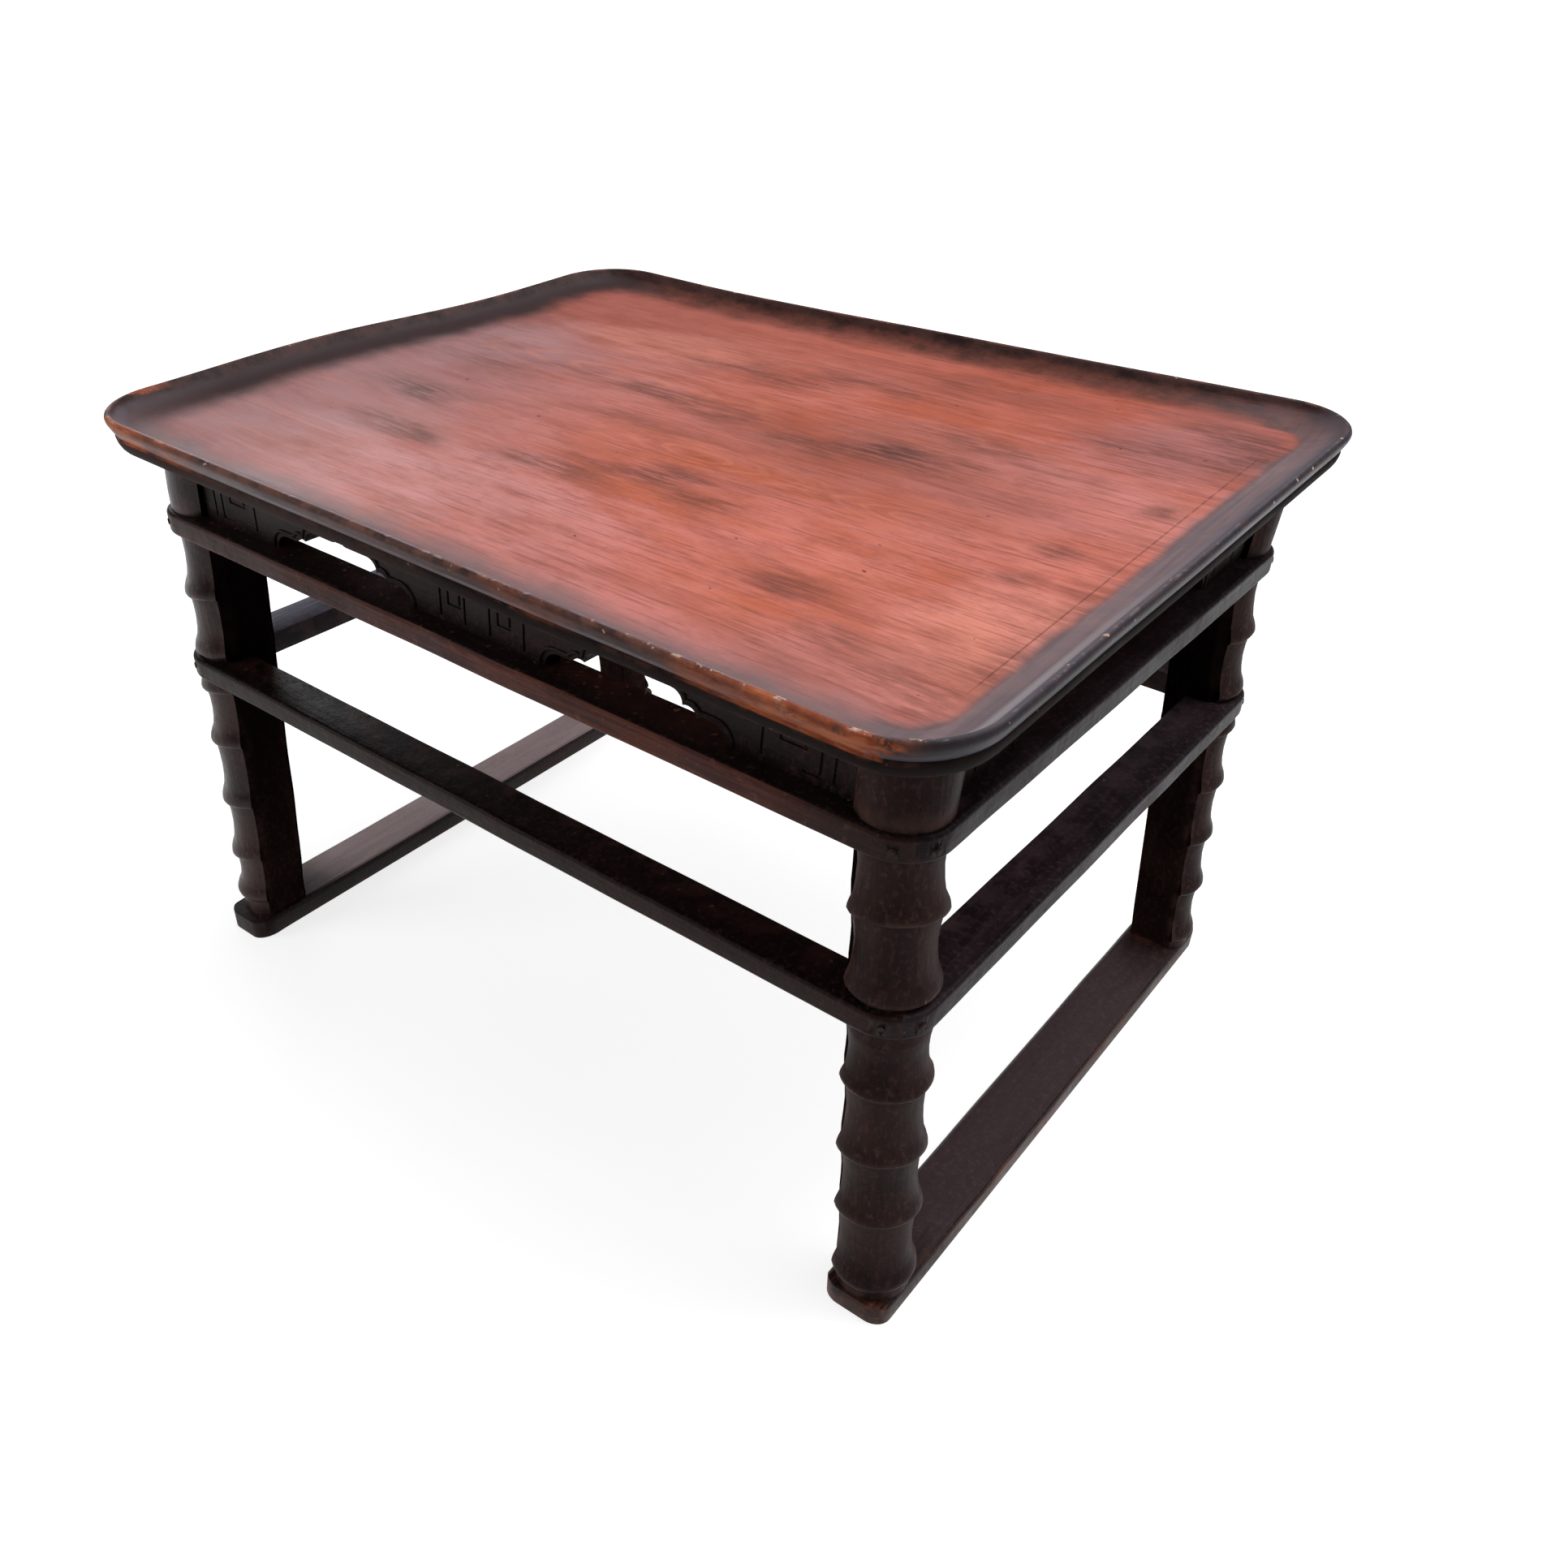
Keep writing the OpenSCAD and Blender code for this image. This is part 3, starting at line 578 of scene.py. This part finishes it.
# The way the carved half of a leg faces
diagonal = Vector((0.7071, 0.7071, 0))
legs = {}
for side, sx, sy in (("front_left", -1, -1), ("front_right", 1, -1), ("back_left", -1, 1), ("back_right", 1, 1)):
    leg = bpy.data.objects.new("leg_" + side + "_carved", first_leg.data.copy())
    bpy.context.scene.collection.objects.link(leg)
    for v in leg.data.vertices:
        z = v.co.z / mm
        out = Vector((v.co.x / mm - foot_x + lean * z, v.co.y / mm - foot_y + lean * z, 0))
        seed = 10 * sx + 23 * sy
        if not any(low <= z <= high for low, high in joint_zones):
            spread = noise.noise(Vector((out.x / 14, out.y / 14, z / 24 + seed)))
            lift = noise.noise(Vector((out.x / 16, out.y / 16, seed))) * 1.6
            v.co += out.normalized() * 0.4 * spread * mm
            v.co.z += (lift if 20 < z else 0) * mm
        outside = max(out.normalized().dot(diagonal), 0) if out.length > 1 else 0
        v.co.z += stray(side, z, outside) * mm
        # The ring under the lower rails was never carved on the outside of this leg
        if side == "front_right" and 151 < z < 165 and out.length > stem and outside > 0.05:
            v.co += out.normalized() * (stem + 0.1 - out.length) * mm
        v.co = Vector((sx * v.co.x, sy * v.co.y, v.co.z))
    if sx * sy < 0:
        leg.data.flip_normals()
    leg.data.update()
    for f in leg.data.polygons:
        cx, cy, cz = f.center / mm
        inward = abs(cx) - foot_x + abs(cy) - foot_y + 2 * lean * cz < 0.5
        f.material_index = 1 if inward else 0
    settle(leg)
    mark_wear(leg, 14, 34)
    smooth(leg, 40)
    legs[side] = leg
bpy.data.objects.remove(first_leg)


def lacquered_wood(name, grain, colours, *, rub, gloss, marks, sheen, dust, top=None, nose=None,
                   runner=False, inner=False):
    """Dark lacquer over wood whose grain runs along one axis, rubbed through on the arrises.
    Colours: the film's two tones, then rubbed film and bare wood. Amounts: rub for thin places,
    gloss from and to, marks for the rarity of chips, sheen and dust. The top of a rail can have a
    colour of its own, on some a painted sheen, and its nose two. On runners the top's colour and
    the worn arrises fade toward their ends. Inner flats take a painted shade, darker above."""
    deep, lit, rubbed, bare = (paint(*tone) for tone in colours)
    coat = Recipe(name)
    along = {"x": (30, 560, 560), "y": (560, 30, 560), "z": (560, 560, 30)}[grain]
    wide = {"x": (9, 110, 110), "y": (110, 9, 110), "z": (110, 110, 12)}[grain]
    fibre = coat.cloud(along, detail=5, rough=0.65)
    figure = coat.cloud(wide, (0.3, 0.7, 0.2), detail=6, rough=0.65)
    film = coat.cloud((22, 22, 22), (1.1, 0.2, 0.6), detail=6, rough=0.6)
    grit = coat.cloud((420, 420, 260), (0.4, 1.2, 0.6), detail=3, rough=0.7)
    colour = coat.blend(coat.span(film, 0.22, 0.78), deep, lit)
    colour = coat.blend(coat.times(coat.span(figure, 0.45, 0.68), rub), colour, rubbed)
    if top:
        upper = coat.times(coat.attribute("top"), coat.span(figure, 0.3, 0.6, 0.85, 1.0))
        if runner:
            size = coat.step("VectorMath", {0: coat.place}, operation="ABSOLUTE").outputs[0]
            along_y = coat.step("SeparateXYZ", {"Vector": size}).outputs[1]
            upper = coat.times(upper, coat.span(along_y, 0.145, 0.1))
        colour = coat.blend(upper, colour, paint(*top))
    if nose:
        run, out = coat.step("SeparateXYZ", {"Vector": coat.place}).outputs[:2]
        band = coat.times(coat.span(coat.attribute("top"), 0.9, 0.1), coat.span(out, -0.154, -0.1565))
        band = coat.times(band, coat.span(run, 0.2, 0.15))
        band = coat.times(band, coat.span(run, -0.17, 0.02, 0.3, 1.0))
        band = coat.times(band, coat.span(figure, 0.3, 0.55, 0.35, 1.0))
        lip = coat.blend(coat.span(fibre, 0.4, 0.65), *(paint(*tone) for tone in nose))
        colour = coat.blend(band, colour, lip)
    streaks = coat.span(fibre, 0.48, 0.7, 0.0, 0.45)
    if top:
        streaks = coat.times(streaks, coat.less(1.0, coat.times(upper, 0.7)))
    colour = coat.blend(streaks, colour, deep)
    dusty = coat.times(coat.span(grit, 0.5, 0.66), coat.span(film, 0.2, 0.8, 0.3, 1.0))
    # Inner flats: painted shade, darker toward the top under the tray
    if inner:
        shade = coat.span(coat.step("SeparateXYZ", {"Vector": coat.place}).outputs[2], 0.05, 0.18, 0.6, 0.94)
        colour = coat.blend(shade, colour, paint(9, 5, 5))
        dusty = coat.times(dusty, coat.less(1.0, shade))
    colour = coat.blend(coat.times(dusty, dust), colour, paint(120, 91, 87))
    edge = coat.attribute("wear")
    if inner:
        edge = coat.times(edge, coat.less(1.0, shade))
    if runner:
        edge = coat.times(edge, coat.span(along_y, 0.155, 0.12, 0.2, 1.0))
    worn = coat.times(edge, coat.span(coat.cloud((80, 80, 80), (0.2, 0.5, 0), 4), 0.42, 0.62))
    colour = coat.blend(worn, colour, rubbed)
    chip = coat.span(coat.cloud((230, 230, 230), (0.7, 0.1, 0.4), 3), marks, marks + 0.04)
    chip = coat.times(chip, coat.plus(coat.times(edge, 0.8), 0.06))
    colour = coat.blend(chip, colour, bare)
    shine = coat.plus(coat.span(film, 0.3, 0.7, gloss[0], gloss[1]), coat.times(dusty, 0.2))
    height = coat.plus(coat.times(fibre, 0.5), coat.times(film, 1.0))
    height = coat.plus(height, coat.times(coat.cloud((120, 120, 90), detail=3), 0.7))
    return coat.close(colour, shine, height, 0.0005, sheen)


shaded_inner_lacquer = lacquered_wood(
    "leg_lacquer_inner_shaded", "z", ((38, 26, 24), (70, 51, 47), (84, 61, 55), (150, 120, 108)),
    rub=0.25, gloss=(0.5, 0.7), marks=0.72, sheen=0.0, dust=0.3, inner=True)
leg_lacquer = {
    "right": lacquered_wood(
        "leg_lacquer_right", "z", ((30, 18, 17), (60, 43, 40), (80, 57, 51), (150, 120, 108)),
        rub=0.25, gloss=(0.36, 0.5), marks=0.72, sheen=0.04, dust=0.34),
    # The left legs' copy is painted a little lighter, and is glossier, where the light from the left falls on
    # them
    "left": lacquered_wood(
        "leg_lacquer_left_lit", "z", ((36, 23, 21), (68, 48, 44), (88, 65, 59), (150, 126, 116)),
        rub=0.25, gloss=(0.28, 0.38), marks=0.72, sheen=0.2, dust=0.34),
}
for side, leg in legs.items():
    leg.data.materials.append(leg_lacquer[side.split("_")[1]])
    leg.data.materials.append(shaded_inner_lacquer)
    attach(leg, "root")
    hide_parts("leg_" + side)

# Rails
# Two frames of flat bars with a rounded outer edge, scribed round the legs and mitred on
# their outside. The lacquer has gone from the nose of the upper front one.


def dressed_copy(node, name, arris, step_axis=None, step=10):
    """A copy of a solid with its arrises eased by a plane, cut across at each step in
    millimetres along one axis so that it can be uneven."""
    piece = bpy.data.objects.new(name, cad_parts[node].data.copy())
    bpy.context.scene.collection.objects.link(piece)
    piece.data.materials.clear()
    bpy.ops.object.select_all(action="DESELECT")
    piece.select_set(True)
    bpy.context.view_layer.objects.active = piece
    bpy.ops.object.mode_set(mode="EDIT")
    bpy.ops.mesh.select_all(action="SELECT")
    bpy.ops.mesh.remove_doubles(threshold=0.005 * mm)
    bpy.ops.mesh.dissolve_limited(angle_limit=math.radians(1.5))
    bpy.ops.object.mode_set(mode="OBJECT")
    bevel = piece.modifiers.new("arris", "BEVEL")
    bevel.width = arris
    bevel.segments = 2
    bevel.limit_method = "WEIGHT"
    work = bmesh.new()
    work.from_mesh(piece.data)
    shortest, sharpest = 1.2 * mm, math.radians(40)
    sharp = [1.0 if e.calc_length() > shortest and e.calc_face_angle(0) > sharpest else 0.0 for e in work.edges]
    work.free()
    piece.data.attributes.new("bevel_weight_edge", "FLOAT", "EDGE").data.foreach_set("value", sharp)
    bpy.ops.object.modifier_apply(modifier="arris")
    if step_axis is not None:
        bpy.ops.object.mode_set(mode="EDIT")
        low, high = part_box(node)
        normal = [0, 0, 0]
        normal[step_axis] = 1
        count = int((high[step_axis] - low[step_axis]) / (step * mm))
        for i in range(1, count):
            at = low + (high - low) * i / count
            bpy.ops.mesh.select_all(action="SELECT")
            bpy.ops.mesh.bisect(plane_co=at, plane_no=normal)
        bpy.ops.object.mode_set(mode="OBJECT")
    return piece


def mark_top(piece):
    """Marks the faces that look up, which some finishes colour apart: darker, or paler with a painted sheen."""
    facing = [1.0 if f.normal.z > 0.8 else 0.0 for f in piece.data.polygons]
    piece.data.attributes.new("top", "FLOAT", "FACE").data.foreach_set("value", facing)


rail_lacquer = {
    "x": lacquered_wood(
        "rail_lacquer_long", "x", ((25, 15, 13), (46, 31, 28), (80, 52, 45), (170, 128, 108)),
        rub=0.2, gloss=(0.28, 0.42), marks=0.68, sheen=0.06, dust=0.18, top=(24, 15, 15)),
    "y": lacquered_wood(
        "rail_lacquer_short", "y", ((21, 15, 18), (40, 31, 36), (78, 62, 66), (160, 130, 114)),
        rub=0.2, gloss=(0.28, 0.42), marks=0.7, sheen=0.05, dust=0.22),
}
worn_rail = lacquered_wood(
    "rail_worn_nose", "x", ((24, 14, 12), (44, 28, 25), (90, 50, 40), (204, 158, 130)),
    rub=0.25, gloss=(0.34, 0.5), marks=0.63, sheen=0.08, dust=0.15, top=(30, 22, 21),
    nose=((70, 34, 28), (122, 64, 48)))
# The tops of the left rails are painted paler and bluish, a painted sheen of the light from behind
rail_lacquer["left"] = lacquered_wood(
    "rail_lacquer_left_sheen", "y", ((20, 14, 17), (38, 29, 33), (72, 56, 58), (160, 130, 114)),
    rub=0.2, gloss=(0.28, 0.42), marks=0.7, sheen=0.06, dust=0.2, top=(104, 104, 126))
# Planed by hand, the rails are a little uneven up to this far from their middles, between the legs
uneven_to = (190, 125)
for tier in ("upper", "lower"):
    for side, axis in (("front", 0), ("back", 0), ("left", 1), ("right", 1)):
        node = f"{tier}_rail_{side}"
        rail = dressed_copy(node, node + "_planed", 0.9 * mm, axis)
        for v in rail.data.vertices:
            along = v.co[axis] / mm
            if abs(along) < uneven_to[axis]:
                sway = noise.noise(Vector((along / 60, 5 * axis, v.co.z / 0.3)))
                v.co.z += 0.25 * sway * mm
                v.co[1 - axis] += 0.3 * noise.noise(Vector((along / 45, 9, v.co.z / 0.2))) * mm
        mark_top(rail)
        settle(rail)
        mark_wear(rail)
        smooth(rail)
        finish = rail_lacquer["left" if side == "left" else "xy"[axis]]
        rail.data.materials.append(worn_rail if node == "upper_rail_front" else finish)
        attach(rail, "root")
        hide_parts(node)

# Foot rails
# A flat runner under the two legs of each short side, with rounded ends and eased upper
# arrises. The legs' tenons come through it.
runner_lacquer = {
    # The left runner's top is painted pale, a painted sheen of the light from behind
    "left": lacquered_wood(
        "runner_lacquer_left_sheen", "y", ((22, 14, 14), (40, 28, 28), (84, 58, 50), (170, 124, 98)),
        rub=0.3, gloss=(0.34, 0.5), marks=0.7, sheen=0.12, dust=0.25, top=(168, 148, 148), runner=True),
    "right": lacquered_wood(
        "runner_lacquer_right", "y", ((26, 17, 16), (44, 31, 29), (172, 104, 76), (190, 134, 100)),
        rub=0.3, gloss=(0.34, 0.5), marks=0.7, sheen=0.1, dust=0.25, top=(66, 52, 54), runner=True),
}
# How far the old runners' front ends have spread, and the stretch over which they do
end_pull = {"left": (3, -7.5, 0), "right": (0, 4.5, 0)}
spread_from, spread_over = -150, 26
for side in ("left", "right"):
    runner = dressed_copy("foot_rail_" + side, f"foot_rail_{side}_planed", 1.6 * mm, 1, 12)
    mark_top(runner)
    for v in runner.data.vertices:
        if v.co.z > 2 * mm:
            v.co.x += 0.4 * noise.noise(Vector((v.co.y / 0.05, 3, 0))) * mm
            v.co.z += 0.3 * (noise.noise(v.co / 0.04) - 0.3) * mm
        end = min(max((spread_from * mm - v.co.y) / (spread_over * mm), 0), 1)
        v.co += Vector(end_pull[side]) * end * end * mm
    settle(runner)
    mark_wear(runner)
    smooth(runner)
    runner.data.materials.append(runner_lacquer[side])
    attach(runner, "root")
    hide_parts("foot_rail_" + side)

# Aprons
# Thin boards between the upper rails and the tray, pierced with cloud shaped openings that
# have a raised edging, and cut with a key fret between them.
board_foot, board_h, board_t = rail_top - 0.1, 36.2, 8.5


def arc(cx, cz, radius, start, end, step, up=1):
    """Points along an arc, from one angle to another in degrees."""
    angles = [math.radians(a) for a in range(start, end + 1, step)]
    return [(cx + radius * math.cos(a), cz + up * radius * math.sin(a)) for a in angles]


def cloud_line(length, centre):
    """Half an opening's outline and its mirror, from its left foot over its tip to its right foot:
    an end lobe, two shoulders and the side of a pointed tip."""
    shoulder_x = length / 2 - 22
    half = arc(length / 2 - 8, 0, 8, 0, 90, 15) + arc(shoulder_x + 2.5, 5.5, 5, 30, 120, 18)
    half += arc(shoulder_x - 6, 10, 6, 0, 90, 18) + arc(5, 21, 5, 90, 180, 18, up=-1)
    half = [half[0]] + [p for p in half[1:] if p[1] > 0.05]
    left = [(centre - x, z) for x, z in half]
    return left + [(centre + x, z) for x, z in reversed(half[:-1])]


def on_face(x, z, face, axis):
    """The place of a point of the drawing on the face of a long (x) or a short (y) board."""
    return Vector((x, face, board_foot + z) if axis == "x" else (face, x, board_foot + z)) * mm


def board(name, ends, openings, length, face, axis):
    """A pierced board, traced on its face and pushed back by its thickness."""
    outline = [(-ends, 0)]
    for centre in openings:
        outline += cloud_line(length, centre)
    outline += [(ends, 0), (ends, board_h), (-ends, board_h), (-ends, 0)]
    piece = trace(name, [on_face(x, z, face, axis) for x, z in outline])
    bpy.ops.mesh.remove_doubles(threshold=0.02 * mm)
    bpy.ops.mesh.edge_face_add()
    inward = -math.copysign(board_t, face) * mm
    push = (0, inward, 0) if axis == "x" else (inward, 0, 0)
    bpy.ops.mesh.extrude_region_move(TRANSFORM_OT_translate={"value": push})
    close_up(piece, 0.005 * mm)
    return piece


def bead(name, line, face, axis, size):
    """A half round edging that follows a line on the face of a board."""
    bpy.ops.object.select_all(action="DESELECT")
    shape = bpy.data.curves.new(name, "CURVE")
    shape.dimensions = "3D"
    spline = shape.splines.new("POLY")
    spline.points.add(len(line) - 1)
    for point, (x, z) in zip(spline.points, line):
        point.co = (*on_face(x, z, face, axis), 1)
    shape.bevel_depth = size * mm
    shape.bevel_resolution = 2
    shape.use_fill_caps = True
    strip = bpy.data.objects.new(name, shape)
    bpy.context.scene.collection.objects.link(strip)
    strip.select_set(True)
    bpy.context.view_layer.objects.active = strip
    bpy.ops.object.convert(target="MESH")
    return bpy.context.object


def grooves(piece, lines, face, axis):
    """Cuts a fret into the face of a board, one straight stroke after another."""
    wide, deep = 1.3, 0.7
    strokes = []
    for line in lines:
        for (x0, z0), (x1, z1) in zip(line, line[1:]):
            bpy.ops.mesh.primitive_cube_add(size=1, location=(0, 0, 0))
            stroke = bpy.context.object
            size = (abs(x1 - x0) + wide, 2 * deep, abs(z1 - z0) + wide)
            stroke.scale = Vector(size if axis == "x" else (size[1], size[0], size[2])) * mm
            stroke.location = on_face((x0 + x1) / 2, (z0 + z1) / 2, face, axis)
            strokes.append(stroke)
    bpy.ops.object.select_all(action="DESELECT")
    for stroke in strokes:
        stroke.select_set(True)
    bpy.context.view_layer.objects.active = strokes[0]
    bpy.ops.object.join()
    bpy.ops.object.transform_apply(location=True, rotation=True, scale=True)
    cutter = bpy.context.object
    bpy.ops.object.select_all(action="DESELECT")
    bpy.context.view_layer.objects.active = piece
    cut = piece.modifiers.new("fret", "BOOLEAN")
    cut.operation = "DIFFERENCE"
    cut.solver = "EXACT"
    cut.use_self = True
    cut.object = cutter
    bpy.ops.object.modifier_apply(modifier="fret")
    bpy.data.objects.remove(cutter)


apron_lacquer = {}
for axis, word in (("x", "long"), ("y", "short")):
    apron_lacquer[axis] = lacquered_wood(
        "apron_lacquer_" + word, axis, ((18, 11, 10), (34, 24, 22), (52, 38, 35), (140, 118, 108)),
        rub=0.3, gloss=(0.36, 0.55), marks=0.74, sheen=0.08, dust=0.2)
# Strokes of the fret, as points on the board: along it from its middle, and up from its foot
middle_fret = [[(-21, 3), (-21, 31)], [(-6, 26), (-16, 26), (-16, 10), (-9, 10), (-9, 19)], [(-6, 3), (-6, 31)],
               [(9, 3), (9, 31)], [(14, 26), (14, 10), (21, 10), (21, 26), (25, 26)], [(29, 3), (29, 31)]]
end_fret = [[(150, 4), (150, 31)], [(158, 27), (158, 14), (169, 14), (169, 22)], [(169, 4), (176, 4), (176, 31)],
            [(182, 4), (182, 31)]]
side_fret = [[(92, 4), (92, 31)], [(98, 27), (98, 12), (106, 12), (106, 22)], [(112, 4), (112, 31)]]


def mirrored(lines):
    """The same strokes on the other half of a board."""
    return [[(-x, z) for x, z in line] for line in lines]


# Half length, middles of the openings, length of an opening and place of the face
long_board = (191, (-87.5, 87.5), 94, 149.94)
short_board = (126, (0,), 164, 214.94)
for side, axis, out, (ends, openings, length, reach) in (
        ("front", "x", -1, long_board), ("back", "x", 1, long_board),
        ("left", "y", -1, short_board), ("right", "y", 1, short_board)):
    face = out * reach
    apron = board("apron_" + side + "_pierced", ends, openings, length, face, axis)
    if axis == "x":
        strokes = middle_fret + end_fret + mirrored(end_fret)
    else:
        strokes = side_fret + mirrored(side_fret)
    grooves(apron, strokes, face, axis)
    edging = []
    for centre in openings:
        wider = [(centre + (x - centre) * (1 + 5 / length), z * 1.12 + 1.2)
                 for x, z in cloud_line(length, centre)]
        line = [(wider[0][0], 0.6)] + wider[1:-1] + [(wider[-1][0], 0.6)]
        edging.append(bead("edging", line, face, axis, 1.0))
    bpy.ops.object.select_all(action="DESELECT")
    for part in edging + [apron]:
        part.select_set(True)
    bpy.context.view_layer.objects.active = apron
    bpy.ops.object.join()
    settle(apron)
    mark_wear(apron, 88, 140)
    smooth(apron)
    apron.data.materials.clear()
    apron.data.materials.append(apron_lacquer[axis])
    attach(apron, "root")
    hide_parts("apron_" + side)

# Pegs
# Split bamboo, driven through the bands into the legs and cut off nearly flush. They took
# the same lacquer, and only their ends have rubbed pale.
peg_finish = lacquered_wood(
    "peg_bamboo_lacquered", "z", ((25, 15, 13), (48, 32, 28), (60, 40, 34), (150, 118, 98)),
    rub=0.3, gloss=(0.35, 0.5), marks=0.74, sheen=0.08, dust=0.2)
for tier in ("upper", "lower"):
    pegs = dressed_copy(tier + "_rail_pegs", tier + "_rail_pegs_trimmed", 0.1 * mm)
    settle(pegs)
    mark_wear(pegs)
    smooth(pegs)
    pegs.data.materials.append(peg_finish)
    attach(pegs, "root")
    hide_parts(tier + "_rail_pegs")

# Studio
# A plain pale floor and soft light: a cool broad one from behind and the right that gives the
# lacquer its sheen, and a weaker warm one from the front left.
bpy.ops.object.select_all(action="DESELECT")
bpy.ops.mesh.primitive_plane_add(size=30, location=(0, 0, -0.2 * mm))
floor = bpy.context.object
floor.name = "studio_floor"
ground = Recipe("studio_floor_paper")
paper = ground.step("BsdfDiffuse", {"Color": (0.5, 0.5, 0.5, 1)})
seen = ground.step("LightPath")
shown = ground.reckon("MAXIMUM", seen.outputs["Is Camera Ray"], seen.outputs["Is Glossy Ray"])
shown = ground.reckon("MAXIMUM", shown, seen.outputs["Is Transmission Ray"])
reach = ground.step("VectorMath", {0: ground.place}, operation="LENGTH").outputs["Value"]
strength = ground.times(shown, ground.span(reach, 0.35, 1.8, 0.78, 0.95))
glow = ground.step("Emission", {"Color": (1, 1, 1, 1), "Strength": strength})
both = ground.step("AddShader", {0: paper.outputs[0], 1: glow.outputs[0]})
ground.step("OutputMaterial", {"Surface": both.outputs[0]})
floor.data.materials.append(ground.material)
floor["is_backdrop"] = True

# The air lights the table softly, and the camera sees it as white
world = bpy.data.worlds.new("studio")
bpy.context.scene.world = world
world.use_nodes = True
sky = world.node_tree
sky.nodes.clear()
path = sky.nodes.new("ShaderNodeLightPath")
air = sky.nodes.new("ShaderNodeBackground")
air.inputs["Color"].default_value = (0.93, 0.96, 1, 1)
air.inputs["Strength"].default_value = 0.18
white = sky.nodes.new("ShaderNodeBackground")
white.inputs["Color"].default_value = (1, 1, 1, 1)
white.inputs["Strength"].default_value = 1.0
mix = sky.nodes.new("ShaderNodeMixShader")
sky.links.new(path.outputs["Is Camera Ray"], mix.inputs[0])
sky.links.new(air.outputs[0], mix.inputs[1])
sky.links.new(white.outputs[0], mix.inputs[2])
sky.links.new(mix.outputs[0], sky.nodes.new("ShaderNodeOutputWorld").inputs["Surface"])

for name, spot, size, power, tint in (("back_light", (0.4, 0.65, 1.9), 1.8, 44, (0.95, 0.97, 1)),
                                      ("window_left", (-2.4, 0.9, 1.0), 1.3, 12, (0.95, 0.97, 1)),
                                      ("window_right", (2.0, 0.4, 0.9), 1.3, 4, (0.92, 0.95, 1)),
                                      ("front_fill", (-1.4, -1.5, 1.0), 0.9, 12, (1, 0.93, 0.9))):
    bpy.ops.object.light_add(type="AREA", location=spot)
    lamp = bpy.context.object
    lamp.name = name
    lamp.data.size = size
    lamp.data.energy = power
    lamp.data.color = tint
    lamp.rotation_euler = (Vector((0, 0, 0.2)) - Vector(spot)).to_track_quat("-Z", "Y").to_euler()

bpy.context.scene.view_settings.view_transform = "Standard"
low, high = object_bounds()
